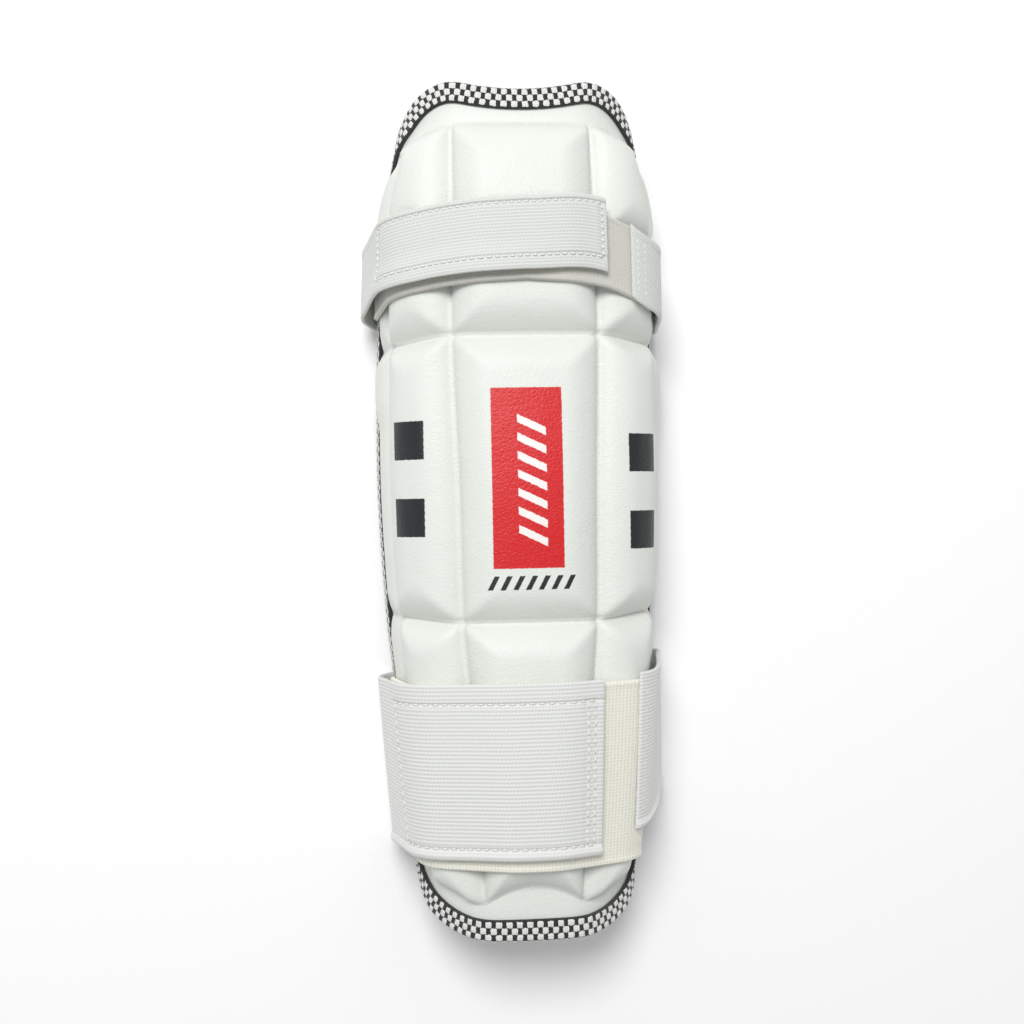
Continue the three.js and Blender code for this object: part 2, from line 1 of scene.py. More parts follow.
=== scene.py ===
"""Looks of a cricket arm guard: a moulded foam face of raised pads, a checked knit binding round its
edge, and two ribbed elastic straps that fasten with hook tape on loop tape. The guard lies hollow
side down, +Y is its elbow end, and lengths in the shape functions are millimetres."""

import math

import bmesh
import bpy
from bpy.props import FloatProperty, FloatVectorProperty, PointerProperty
from mathutils import Matrix, Vector
from mathutils.kdtree import KDTree


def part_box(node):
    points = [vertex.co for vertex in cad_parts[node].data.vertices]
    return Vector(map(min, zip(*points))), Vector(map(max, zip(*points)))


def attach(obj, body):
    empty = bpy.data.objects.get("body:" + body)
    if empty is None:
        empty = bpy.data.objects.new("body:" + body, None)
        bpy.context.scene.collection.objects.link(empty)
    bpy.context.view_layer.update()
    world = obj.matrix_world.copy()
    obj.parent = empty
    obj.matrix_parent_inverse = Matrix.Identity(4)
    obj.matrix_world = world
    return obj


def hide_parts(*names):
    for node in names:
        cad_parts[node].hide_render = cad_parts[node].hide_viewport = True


bl_info = {
    "name": "Cricket arm guard",
    "version": (1, 0, 0),
    "blender": (4, 5, 0),
    "location": "3D View > Sidebar > Arm guard",
    "description": "Builds a padded cricket arm guard with its straps, binding and materials",
    "category": "Add Mesh",
}

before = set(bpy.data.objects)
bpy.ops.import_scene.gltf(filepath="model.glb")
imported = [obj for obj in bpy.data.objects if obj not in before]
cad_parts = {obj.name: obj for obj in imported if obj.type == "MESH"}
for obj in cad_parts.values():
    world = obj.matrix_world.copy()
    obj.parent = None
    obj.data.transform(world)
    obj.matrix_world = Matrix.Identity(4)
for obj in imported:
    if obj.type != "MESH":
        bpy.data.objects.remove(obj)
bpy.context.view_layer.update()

MM = 0.001

# Sizes of the guard, in millimetres and degrees. Widths are measured along the curved surface.
GUARD_LENGTH = 286.5
CENTRE_HALF = 23.2
SIDE_WIDTH = 30.3
WALL_WIDTH = 27.0
BASE_THICKNESS = 3.5
OUTER_PAD_RISE = 3.0
FREE_SWELL = 1.6
ELBOW_CORNER = 33.5
WRIST_CORNER = 42.0
ELBOW_DIP = 3.2
ELBOW_REACH = 1.8
CENTRE_FALL = 5.0
SIDE_FALL = 41.0
WALL_FLARE = 5.0
GROOVE_BLEND = 5.0
CREASE_BLEND = 6.0
ELBOW_PAD_END = 128.0
ELBOW_GROOVE = 92.0
UPPER_GROOVE = 59.0
LOWER_GROOVE = -36.0
WRIST_GROOVE = -80.0
WRIST_PAD_END = -131.0
WRIST_PAD_ARC = 6.5
GROOVE_DRAW = 3.0
BINDING_WIDTH = 7.5
BINDING_THICKNESS = 1.2
PAD_SETBACK = 2.0
CLEARANCE = 0.3
ELASTIC_THICKNESS = 1.5
LOOP_THICKNESS = 1.5
HOOK_THICKNESS = 1.0

# How the pads' border is eased along it, and how its corners are evened out.
EDGE_SOFTENING = 3.0
CORNER_FROM = (22.0, 105.0)
CORNER_PASSES = 200
RING_MARGIN = 0.15

# How a pad's edge rises: the reach of its rounded corners, and the share of its long soft slope.
PAD_CORNER = 1.2
SOFT_SLOPE = 0.75

# Widths of the wall between which its pads are pinched flat, and join the pads beside them.
WALL_PINCH = (5.0, 11.0)
WALL_JOIN = (3.5, 9.0)

# Far enough from a pad's ends that only its sides shape it.
MID_PAD = 24.0

HALF = GUARD_LENGTH / 2
EDGE_INSET = BINDING_THICKNESS + CLEARANCE
RIM_WIDTH = BINDING_WIDTH - EDGE_INSET + PAD_SETBACK
FIELD_END = HALF - EDGE_INSET - RIM_WIDTH

# Shares of the section's widths along the guard.
SECTION_COLUMNS = ("along", "centre", "side", "wall", "flare", "trim")
SECTIONS = (
    (-1.0, 0.69, 0.80, 0.86, 1.6, 0.31),
    (-0.84, 0.73, 0.82, 0.89, 1.6, 0.88),
    (-0.6, 0.82, 0.85, 0.96, 1.5, 1.0),
    (-0.39, 0.90, 0.86, 1.0, 1.5, 1.0),
    (-0.26, 0.96, 0.87, 1.0, 1.6, 1.0),
    (0.06, 0.99, 0.93, 1.0, 1.7, 1.0),
    (0.41, 1.05, 0.85, 1.0, 1.6, 1.0),
    (0.7, 1.01, 0.86, 1.0, 1.1, 0.91),
    (0.87, 1.02, 0.70, 1.0, 0.6, 0.36),
    (1.0, 1.03, 0.52, 1.0, 0.3, 0.06),
)

# The rows of pads: where each ends, and how many lines of vertices its pads take.
ROW_STOPS = (
    -FIELD_END, WRIST_PAD_END, WRIST_GROOVE, LOWER_GROOVE, UPPER_GROOVE, ELBOW_GROOVE, ELBOW_PAD_END,
    FIELD_END,
)
ROW_COUNTS = (6, 42, 36, 74, 28, 30, 5)
COLUMN_COUNTS = (20, 24, 18)


def smooth(value, low, high):
    """Ease from 0 at low to 1 at high."""
    t = min(max((value - low) / (high - low), 0.0), 1.0)
    return t * t * (3 - 2 * t)


def mix(a, b, t):
    return a + (b - a) * t


def sign(value):
    return -1.0 if value < 0 else 1.0


def read_table(rows, at, column):
    """Smooth curve through the rows of a table, flat past its ends."""
    last = len(rows) - 1
    if at <= rows[0][0]:
        return rows[0][column]
    if at >= rows[last][0]:
        return rows[last][column]
    i = next(k for k in range(last) if rows[k + 1][0] > at)

    def slope(k):
        before, after = rows[max(k - 1, 0)], rows[min(k + 1, last)]
        return (after[column] - before[column]) / (after[0] - before[0])

    span = rows[i + 1][0] - rows[i][0]
    t = (at - rows[i][0]) / span
    lead = t * (1 - t) * (1 - t) * span * slope(i)
    trail = t * t * (1 - t) * span * slope(i + 1)
    return mix(rows[i][column], rows[i + 1][column], t * t * (3 - 2 * t)) + lead - trail


def ease_table(rows, at):
    """Eases between the rows of a two-column table, level at each row."""
    if at <= rows[0][0]:
        return rows[0][1]
    for before, after in zip(rows, rows[1:]):
        if at < after[0]:
            return mix(before[1], after[1], smooth(at, before[0], after[0]))
    return rows[-1][1]


class Section:
    """Half of the face's section at a place along the guard."""

    def __init__(self, place):
        self.place = place
        share = place / HALF
        values = {name: read_table(SECTIONS, share, k) for k, name in enumerate(SECTION_COLUMNS)}
        self.centre = CENTRE_HALF * values["centre"]
        self.crease = self.centre + SIDE_WIDTH * values["side"]
        wall = WALL_WIDTH * values["wall"]
        self.full = self.crease + wall
        self.field = self.crease + (wall - RIM_WIDTH) * min(values["trim"], 1.0)
        self.pad_end = self.full - RIM_WIDTH
        down = math.radians(90 - WALL_FLARE * values["flare"])
        centre_fall, side_fall = math.radians(CENTRE_FALL), math.radians(SIDE_FALL)
        self.bends = (
            (0.0, 0.0),
            (self.centre - GROOVE_BLEND, centre_fall),
            (self.centre + GROOVE_BLEND, side_fall - centre_fall),
            (self.crease - CREASE_BLEND, side_fall + centre_fall),
            (self.crease + CREASE_BLEND, down),
            (self.full, down),
        )
        binding_drop = EDGE_INSET * math.sin(down) + (BASE_THICKNESS + CLEARANCE) * math.cos(down)
        self.top = self.walk(self.full)[1] + binding_drop + ELASTIC_THICKNESS + CLEARANCE

    def walk(self, distance):
        """Where the section is at a distance along it: across, how far down, and its heading."""
        across = down = heading = 0.0
        for (start, first), (stop, last) in zip(self.bends, self.bends[1:]):
            length = min(distance, stop) - start
            if length <= 0:
                break
            turn = (last - first) / (stop - start)
            heading = first + turn * length
            if abs(turn) < 1e-9:
                across += length * math.cos(heading)
                down += length * math.sin(heading)
            else:
                across += (math.sin(heading) - math.sin(first)) / turn
                down += (math.cos(first) - math.cos(heading)) / turn
        past = max(distance - self.full, 0.0)
        return across + past * math.cos(heading), down + past * math.sin(heading), heading


def on_guard(across, place, height):
    """Lay a point of the flat pattern on the guard: height is off the bottom of the grooves."""
    section = Section(place)
    x, down, heading = section.walk(abs(across))
    x += height * math.sin(heading)
    return Vector((sign(across) * x, place, section.top - down + height * math.cos(heading)))


def shoulder(distance, width):
    t = min(max(distance / width, 0.0), 1.0)
    return math.sqrt(1 - (1 - t) * (1 - t))


def hip(distance, width):
    """Rise of a pad from its groove: steep in the groove, then a long soft slope."""
    t = min(max(distance / width, 0.0), 1.0)
    return mix(shoulder(distance, width), t * (2 - t), SOFT_SLOPE)


def soft_least(a, b, blend):
    """The lesser of two distances, with its corner rounded."""
    t = min(max(0.5 + (b - a) / (2 * blend), 0.0), 1.0)
    return max(mix(b, a, t) - blend * t * (1 - t), 0.0)


def pad_edge_distance(section, across):
    """How far a point is from the side edges of its pad, and which column holds it."""
    edges = (-section.centre, section.centre, section.crease, section.pad_end)
    for column, (low, high) in enumerate(zip(edges, edges[1:])):
        if low <= abs(across) <= high:
            return min(abs(across) - low, high - abs(across)), column
    return 0.0, -1


def row_edge_distance(place):
    for low, high in zip(ROW_STOPS[1:-1], ROW_STOPS[2:-1]):
        if low <= place <= high:
            return min(place - low, high - place)
    return 0.0


def free_swell(place):
    """How much more the wall's pads stand out where no strap presses them: beside the strap on the
    middle row, and on the elbow row."""
    middle = smooth(place, 28.0, 44.0) * (1 - smooth(place, 53.0, 61.0))
    return FREE_SWELL * (middle + smooth(place, 91.0, 98.0))


def pad_height(section, across, limit, face, squeezed=1.0):
    """Height of the pads over the bottom of the grooves. Where the wall's pads are pressed to
    nothing, the groove over them goes too. squeezed is the share of the width left there."""
    sideways, column = pad_edge_distance(section, across)
    if column < 0:
        return 0.0
    away = abs(across)
    wall = section.field - section.crease
    merge = (1 - smooth(wall, *WALL_JOIN)) if column > 0 else 0.0
    sideways = mix(sideways, min(away - section.centre, section.pad_end - away), merge) * squeezed
    near = soft_least(sideways, limit, PAD_CORNER)
    outer = (1 - merge) * float(column == 2)
    width = face.pad_shoulder / MM
    wall_rise = (OUTER_PAD_RISE + free_swell(section.place)) * smooth(wall, *WALL_PINCH)
    rise = mix(face.pad_rise / MM, wall_rise, outer)
    return rise * hip(near, width) + (1 - outer) * face.pad_crown / MM * shoulder(near / 2, width)


def drawn_place(place, across, section):
    """A line across the pads, drawn in towards the middle at the sides as the grooves are."""
    pad_end = ELBOW_PAD_END if place > 0 else -WRIST_PAD_END
    fade = min(max((FIELD_END - abs(place)) / (FIELD_END - pad_end), 0.0), 1.0)
    sideways = smooth(abs(across), section.centre, section.crease)
    in_centre = max(1 - (across / section.centre) ** 2, 0.0)
    draw = GROOVE_DRAW / UPPER_GROOVE * sideways * (1 - abs(place) / HALF)
    arc = WRIST_PAD_ARC * in_centre * smooth(-place, -WRIST_GROOVE, -WRIST_PAD_END)
    dip = ELBOW_DIP * in_centre * smooth(place, ELBOW_PAD_END, FIELD_END)
    reach = ELBOW_REACH * smooth(place, ELBOW_GROOVE, ELBOW_PAD_END)
    return place * (1 - draw * fade) + arc * fade - dip + reach


def round_corner(across, place, edge, end, radius):
    x = (abs(across) - (edge - radius)) / radius
    y = (abs(place) - (end - radius)) / radius
    if x <= 0 or y <= 0:
        return across, place
    new_x = edge - radius + radius * x * math.sqrt(1 - y * y / 2)
    new_y = end - radius + radius * y * math.sqrt(1 - x * x / 2)
    return sign(across) * new_x, sign(place) * new_y


def spread(stops, counts):
    """Lines from the first stop to the last, with a count of even steps between each two."""
    lines = [stops[0]]
    for low, high, count in zip(stops, stops[1:], counts):
        lines += [mix(low, high, (k + 1) / count) for k in range(count)]
    return lines


def even_places(gaps, count):
    """Even places along a line, from its start to its end: the length there, the gap between points
    that it falls in, and its share of the gap."""
    total = sum(gaps)
    passed, i = 0.0, 0
    for k in range(count + 1):
        wanted = total * k / count
        while i < len(gaps) - 1 and passed + gaps[i] < wanted:
            passed += gaps[i]
            i += 1
        yield wanted, i, min((wanted - passed) / gaps[i], 1.0) if gaps[i] else 0.0


ROW_LINES = spread(ROW_STOPS, ROW_COUNTS)


def field_point(row, column):
    """A vertex of the pads' grid on the flat pattern: its section, its line across, its line along,
    and its point once the walls are pressed in at the ends and the corners are rounded."""
    place = ROW_LINES[row]
    section = Section(place)
    lines = spread((0.0, section.centre, section.crease, section.pad_end), COLUMN_COUNTS)
    line = column - (len(lines) - 1)
    across = sign(line) * lines[abs(line)]
    past = max(abs(across) - section.crease, 0.0) / (section.pad_end - section.crease)
    pressed = min(abs(across), section.crease) + past * (section.field - section.crease)
    radius = (ELBOW_CORNER if place > 0 else WRIST_CORNER) - RIM_WIDTH
    drawn = drawn_place(place, across, section)
    at = round_corner(sign(across) * pressed, drawn, section.field, FIELD_END, radius)
    return section, across, place, at


class Border:
    """The border of the pads on the flat pattern, as an even ring of points with ways out."""

    def __init__(self, step):
        rows, columns = len(ROW_LINES), 2 * sum(COLUMN_COUNTS) + 1
        ring = [(0, k) for k in range(columns - 1)]
        ring += [(k, columns - 1) for k in range(rows - 1)]
        ring += [(rows - 1, k) for k in range(columns - 1, 0, -1)]
        ring += [(k, 0) for k in range(rows - 1, 0, -1)]
        corners = [Vector(field_point(row, column)[3]) for row, column in ring]
        gaps = [(b - a).length for a, b in zip(corners, corners[1:] + corners[:1])]
        self.length = sum(gaps)
        self.count = round(self.length / step)
        self.points = [
            corners[i].lerp(corners[(i + 1) % len(corners)], t)
            for _, i, t in list(even_places(gaps, self.count))[:-1]
        ]
        for _ in range(round((EDGE_SOFTENING / step) ** 2)):
            after = self.points[1:] + self.points[:1]
            before = self.points[-1:] + self.points[:-1]
            self.points = [(a + 2 * b + c) / 4 for a, b, c in zip(before, self.points, after)]
        reach = max(round(2.5 / step), 1)
        self.outward = []
        for k in range(self.count):
            way = self.points[(k + reach) % self.count] - self.points[k - reach]
            self.outward.append(Vector((way.y, -way.x)).normalized())
        self.tree = KDTree(self.count)
        for k, point in enumerate(self.points):
            self.tree.insert((point.x, point.y, 0.0), k)
        self.tree.balance()

    def distance(self, at):
        return self.tree.find((at[0], at[1], 0.0))[2]

    def keep_in(self, vertex, margin):
        """Move a vertex of the pads' grid in, where it is nearer to the border than a margin."""
        index = self.tree.find((vertex.co.x, vertex.co.y, 0.0))[1]
        past = (vertex.co.xy - self.points[index]).dot(self.outward[index]) + margin
        if past > 0:
            vertex.co.xy = vertex.co.xy - self.outward[index] * past

    def out(self, index, distance):
        return self.points[index] + self.outward[index] * distance

    def even_out(self, distance, step, multiple):
        """Set the points anew, so that they are even along the line at a distance out."""
        line = [self.out(k, distance) for k in range(self.count)]
        gaps = [(b - a).length for a, b in zip(line, line[1:] + line[:1])]
        self.length = sum(gaps)
        count = multiple * round(self.length / (step * multiple))
        points, outward = [], []
        for _, i, t in list(even_places(gaps, count))[:-1]:
            after = (i + 1) % self.count
            points.append(self.points[i].lerp(self.points[after], t))
            outward.append(self.outward[i].lerp(self.outward[after], t).normalized())
        self.points, self.outward, self.count = points, outward, count


# Radius of the round turn that a slack strap takes at the edge.
SLACK_TURN = 9.0


def hull_line(place, slack, face):
    """The line that a band takes round half of the guard: over the pads, round the bound edge and in
    along the surface below. With slack it stands that far out from the edge in a round turn."""
    section = Section(place)
    touched = []

    def touch(across, height):
        at = on_guard(across, place, height)
        touched.append((at.x, at.z))

    for k in range(41):
        across = section.full * k / 40
        touch(across, pad_height(section, across, MID_PAD, face))
    over = CLEARANCE + BINDING_THICKNESS
    touch(section.full - BINDING_WIDTH + EDGE_INSET, over)
    touch(section.full + CLEARANCE + BINDING_THICKNESS / 2, over)
    touch(section.full + EDGE_INSET, CLEARANCE)
    touch(section.full + EDGE_INSET, -BASE_THICKNESS - CLEARANCE)
    touch(section.full + CLEARANCE + BINDING_THICKNESS / 2, -BASE_THICKNESS - over)
    widest = max(x for x, _ in touched)
    lowest = min(z for _, z in touched)
    if slack > 0:
        for k in range(19):
            angle = math.radians(10 * k)
            x = widest + slack - SLACK_TURN + SLACK_TURN * math.sin(angle)
            touched.append((x, lowest + SLACK_TURN + SLACK_TURN * math.cos(angle)))
    corners = [(0.0, max(z for _, z in touched))]
    heading = 0.0
    while heading < math.pi - 1e-4:
        x, z = corners[-1]
        found = None
        for at in touched:
            if math.hypot(at[0] - x, at[1] - z) < 1e-3:
                continue
            bearing = math.atan2(z - at[1], at[0] - x)
            bearing += 2 * math.pi if bearing < -1e-4 else 0.0
            ahead = heading - 1e-4 < bearing < math.pi - 1e-4
            if ahead and (found is None or bearing < found[0] - 1e-6):
                found = (bearing, at)
        if found is None:
            break
        heading, at = found
        corners.append(at)
    corners.append((0.0, corners[-1][1]))
    return corners


class Track:
    """Lines round half of the guard at many places, resampled evenly and eased at their corners."""

    samples = 180
    step = 2.0
    easing_passes = 10

    def __init__(self, low, high, slack, face):
        self.low = low
        count = math.ceil((high - low) / self.step) + 1
        self.lines = []
        for k in range(count):
            place = low + k * self.step
            self.lines.append(self.resample(hull_line(place, slack(place), face)))

    def resample(self, corners):
        gaps = [math.dist(a, b) for a, b in zip(corners, corners[1:])]
        points = [
            [mix(a, b, t) for a, b in zip(corners[i], corners[i + 1])]
            for _, i, t in even_places(gaps, self.samples)
        ]
        for _ in range(self.easing_passes):
            padded = [[-points[1][0], points[1][1]]] + points + [[-points[-2][0], points[-2][1]]]
            points = [
                [(a[j] + 2 * b[j] + c[j]) / 4 for j in (0, 1)]
                for a, b, c in zip(padded, padded[1:], padded[2:])
            ]
        return sum(gaps), points

    def at(self, place, share, lift):
        """A point and its way out, at a share of the line and a distance off it."""
        row = min(max((place - self.low) / self.step, 0.0), len(self.lines) - 1.001)
        along = min(abs(share), 1.0) * self.samples
        i = min(int(along), self.samples - 1)

        def read(line, k):
            a, b = line[1][k], line[1][k + 1]
            return mix(a[0], b[0], along - i), mix(a[1], b[1], along - i)

        def way(line):
            a, b = line[1][max(i - 1, 0)], line[1][min(i + 2, self.samples)]
            return b[0] - a[0], b[1] - a[1]

        first, second = self.lines[int(row)], self.lines[int(row) + 1]
        t = row - int(row)
        (x0, z0), (x1, z1) = read(first, i), read(second, i)
        (dx0, dz0), (dx1, dz1) = way(first), way(second)
        dx, dz = mix(dx0, dx1, t), mix(dz0, dz1, t)
        length = math.hypot(dx, dz) or 1.0
        out = Vector((-dz / length, 0.0, dx / length))
        at = Vector((mix(x0, x1, t), place, mix(z0, z1, t))) + out * lift
        if share < 0:
            at.x, out.x = -at.x, -out.x
        return at, out

    def nearest(self, place):
        """Length and points of the line nearest to a place."""
        return self.lines[min(max(round((place - self.low) / self.step), 0), len(self.lines) - 1)]

    def turn(self, place):
        """Share of the line at which it turns under the edge."""
        points = self.nearest(place)[1]
        for k in range(self.samples // 3, self.samples):
            if points[k + 1][0] - points[k][0] < -0.7 * math.dist(points[k], points[k + 1]):
                return k / self.samples
        return 1.0


# Heights of the stacked layers over the taut line.
ON_FACE = CLEARANCE
ON_TAPE = ON_FACE + LOOP_THICKNESS + CLEARANCE
ON_HOOK = ON_TAPE + HOOK_THICKNESS + CLEARANCE

UPPER_PLACE, UPPER_ARCH, UPPER_TAPE_SHIFT = 75.5, 15.0, -2.7
LOWER_PLACE, LOWER_LEFT, LOWER_RIGHT, LOWER_TAPE_PLACE = -84.0, -86.0, -74.3, -87.0
UPPER_WIDTH, UPPER_TAPE_WIDTH, UPPER_HOOK_WIDTH = 24.0, 24.0, 22.0
LOWER_WIDTH, LOWER_NARROW, LOWER_TAPE_WIDTH, LOWER_HOOK_WIDTH = 58.5, 48.0, 61.5, 54.0
HEM, HOOK_SETBACK, TAPE_OVERHANG = 9.0, 3.0, 14.0
UPPER_HOOK_LENGTH, LOWER_HOOK_LENGTH = 62.0, 56.0
UPPER_SPAN, LOWER_SPAN = (58.0, 108.0), (-122.0, -44.0)
LEFT_SLACK, UPPER_RIGHT_SLACK = 3.0, 0.5
FRONT_STAND = 1.4
TAPE_SHARE = 0.78

# Share of the upper strap's arch at shares of the way from the front to the turn.
ARCH_COLUMNS = {"left": 1, "right": 2, "tape": 3}
ARCH = (
    (0.0, 1.0, 1.0, 1.0),
    (0.3, 0.9, 0.98, 0.86),
    (0.45, 0.78, 0.33, 0.58),
    (0.6, 0.64, 0.1, 0.22),
    (0.8, 0.42, 0.02, 0.04),
    (1.0, 0.18, 0.0, 0.0),
    (1.2, 0.0, 0.0, 0.0),
)


def side_share(stop):
    """A stop is a share of the right line, and from 1 to 2 runs back along the left one."""
    return stop - 2 if stop > 1 else stop


class Band:
    """One strap's run: its lines at the left and right, and the shares where its layers start."""

    def __init__(self, face, place, span, right_slack, seam, end, hook):
        self.taut = Track(*span, lambda at: 0.0, face)
        self.left = Track(*span, lambda at: LEFT_SLACK, face)
        self.right = Track(*span, right_slack, face)
        self.reach = self.taut.nearest(place)[0]
        self.turn = self.taut.turn(place)
        self.seam, self.end = seam * self.turn, end * self.turn
        self.tape = TAPE_SHARE * self.turn
        self.hook_end = self.end - HOOK_SETBACK / self.reach
        self.hook_start = self.hook_end - hook / self.reach

    def lift(self, stop):
        """Underside of the strap: on its tape at the right, flat below, over the hooks in front."""
        tape_end = self.seam + TAPE_OVERHANG / self.reach
        return ease_table(
            (
                (tape_end, ON_TAPE),
                (mix(tape_end, self.turn, 0.6), ON_FACE),
                (2 - 0.95 * self.turn, ON_FACE),
                (2 - self.tape - 0.04 * self.turn, ON_TAPE),
                (2 + self.hook_start - HOOK_SETBACK / self.reach, ON_HOOK),
            ),
            stop,
        )

    def strap_point(self, stop, place, height):
        share = side_share(stop)
        track = self.left if share < 0 else self.right
        return track.at(place, share, self.lift(stop) + height)

    def tape_point(self, stop, place, height):
        return self.taut.at(place, side_share(stop), height)

    def upper_place(self, stop, right):
        share = side_share(stop)
        column = ARCH_COLUMNS["left" if share < 0 else right]
        return UPPER_PLACE + UPPER_ARCH * read_table(ARCH, abs(share) / self.turn, column)

    def front_lift(self, stop, q):
        """How far the upper strap's lower edge stands off its tape in front and at the left."""
        if stop <= 1:
            return 0.0
        share = side_share(stop) / self.turn
        front = smooth(share, -0.95, -0.6) * (1 - smooth(share, -0.1, 0.2))
        return FRONT_STAND * front * smooth(-q, 1.0, 11.0)

    def lower_draw(self, stop):
        rows = ((self.seam, 0.5), (self.turn * 0.9, 1.0), (1.0, 0.9), (2 - self.turn, 0.0))
        return ease_table(rows, stop)

    def lower_place(self, stop):
        front = mix(LOWER_LEFT, LOWER_PLACE, smooth(stop, 2 - self.turn, 2))
        return mix(front if stop > 1 else LOWER_LEFT, LOWER_RIGHT, self.lower_draw(stop))

    def lower_width(self, stop):
        return mix(LOWER_WIDTH, LOWER_NARROW, self.lower_draw(stop))


def lower_right_stand(place):
    """How far the wide strap stands off at the right: more at its elbow edge."""
    share = (LOWER_RIGHT - place) / LOWER_NARROW + 0.5
    return 2.2 + 3.2 * max(share, 0.0)


def make_bands(face):
    """The runs of the upper and lower straps. seam and end are shares of the way to the turn."""
    upper = Band(
        face, UPPER_PLACE, UPPER_SPAN, lambda at: UPPER_RIGHT_SLACK, seam=0.41, end=0.3,
        hook=UPPER_HOOK_LENGTH,
    )
    lower = Band(
        face, LOWER_PLACE, LOWER_SPAN, lower_right_stand, seam=0.43, end=0.265, hook=LOWER_HOOK_LENGTH
    )
    return upper, lower


def where_guard_lies():
    """How far the solids' frame is from the frame of the shape functions, in metres."""
    low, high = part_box("moulded_face")
    wrist_end = -HALF + EDGE_INSET
    return Vector(((low[0] + high[0]) / 2, low[1] - wrist_end * MM, 0.0))


def grid(columns, rows):
    """A grid of vertices whose x and y run from 0 to 1."""
    mesh = bmesh.new()
    bmesh.ops.create_grid(mesh, x_segments=columns, y_segments=rows, size=0.5)
    low = Vector(min(v.co[k] for v in mesh.verts) for k in range(3))
    high = Vector(max(v.co[k] for v in mesh.verts) for k in range(3))
    size = Vector((1 / (high.x - low.x), 1 / (high.y - low.y), 1))
    bmesh.ops.translate(mesh, vec=-low, verts=mesh.verts)
    bmesh.ops.scale(mesh, vec=size, verts=mesh.verts)
    return mesh


def add_object(name, data):
    made = bpy.data.objects.new(name, data)
    bpy.context.scene.collection.objects.link(made)
    return made


def finish_piece(name, mesh, materials):
    """Turn a bmesh in millimetres into a piece of the guard, in place and in metres."""
    bmesh.ops.scale(mesh, vec=(MM, MM, MM), verts=mesh.verts)
    bmesh.ops.translate(mesh, vec=where_guard_lies(), verts=mesh.verts)
    bmesh.ops.recalc_face_normals(mesh, faces=mesh.faces)
    for face in mesh.faces:
        face.smooth = True
    data = bpy.data.meshes.new(name)
    mesh.to_mesh(data)
    mesh.free()
    for material in materials:
        data.materials.append(material)
    piece = add_object(name, data)
    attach(piece, "root")
    return piece


def linear(code):
    """Linear colour of an sRGB hex value."""
    channels = [int(code[k:k + 2], 16) / 255 for k in (1, 3, 5)]
    return (*(c / 12.92 if c <= 0.04045 else ((c + 0.055) / 1.055) ** 2.4 for c in channels), 1.0)


def node(tree, kind, settings=None, inputs=None):
    """Add a shader node, set it, and link or set its inputs by name or number."""
    made = tree.nodes.new(kind)
    for key, value in (settings or {}).items():
        setattr(made, key, value)
    for key, value in (inputs or {}).items():
        if isinstance(value, bpy.types.NodeSocket):
            tree.links.new(value, made.inputs[key])
        else:
            made.inputs[key].default_value = value
    return made


def maths(tree, operation, *values):
    made = node(tree, "ShaderNodeMath", {"operation": operation}, dict(enumerate(values)))
    return made.outputs[0]


def plus(tree, first, second):
    return maths(tree, "ADD", first, second)


def minus(tree, first, second):
    return maths(tree, "SUBTRACT", first, second)


def times(tree, first, second):
    return maths(tree, "MULTIPLY", first, second)


def wave(tree, at, length):
    """A sine wave along an axis of the pattern, of a length in metres."""
    return maths(tree, "SINE", times(tree, at, 2 * math.pi / length))


def ramp(tree, value, low, high):
    """Rise from 0 at low to 1 at high."""
    return node(tree, "ShaderNodeMapRange", {"clamp": True}, {0: value, 1: low, 2: high}).outputs[0]


def blend_colours(tree, share, first, second):
    made = node(tree, "ShaderNodeMix", {"data_type": "RGBA"}, {0: share, 6: first, 7: second})
    return made.outputs[2]


def opaque(colour):
    """A linear colour with its alpha."""
    return (*colour[:3], 1.0)


def shader(name, colour, roughness):
    """A new material with a Principled shader; returns it with its tree and shader node."""
    material = bpy.data.materials.new(name)
    material.use_nodes = True
    tree = material.node_tree
    principled = tree.nodes["Principled BSDF"]
    principled.inputs["Base Color"].default_value = opaque(colour)
    principled.inputs["Roughness"].default_value = roughness
    return material, tree, principled


def pattern_axes(tree):
    """The piece's own pattern map in metres, as u and v."""
    at = node(tree, "ShaderNodeUVMap", {"uv_map": "pattern"}).outputs[0]
    split = node(tree, "ShaderNodeSeparateXYZ", inputs={0: at})
    return at, split.outputs[0], split.outputs[1]


def bump(tree, principled, height, distance):
    made = node(tree, "ShaderNodeBump", inputs={"Height": height, "Distance": distance})
    tree.links.new(made.outputs[0], principled.inputs["Normal"])


def noise(tree, at, size, detail=3.0, roughness=0.5):
    """Noise with features of a real size, in metres, from 0 to 1."""
    inputs = {"Vector": at, "Scale": 1 / size, "Detail": detail, "Roughness": roughness}
    return node(tree, "ShaderNodeTexNoise", inputs=inputs).outputs[0]


def box_mask(tree, u, v, middle, size, soft):
    """1 inside a box of the pattern and 0 outside, with soft edges; all in metres."""
    edges = []
    for axis, centre, width in ((u, middle[0], size[0]), (v, middle[1], size[1])):
        away = maths(tree, "ABSOLUTE", minus(tree, axis, centre))
        inside = minus(tree, width / 2, away)
        edges.append(ramp(tree, inside, -soft, soft))
    return times(tree, *edges)


# Rows of checks across the folded tape.
CHECK_ROWS = 9

# Printed marks on the flat pattern, in millimetres: middle across and along, and size.
SQUARES = (
    (-37.3, 24.6, 12.0, 12.7),
    (-37.3, -0.9, 12.0, 12.7),
    (37.0, 19.5, 12.0, 12.7),
    (37.0, -6.2, 12.0, 12.7),
)
PANEL = (-0.8, 11.5, 22.4, 58.8)

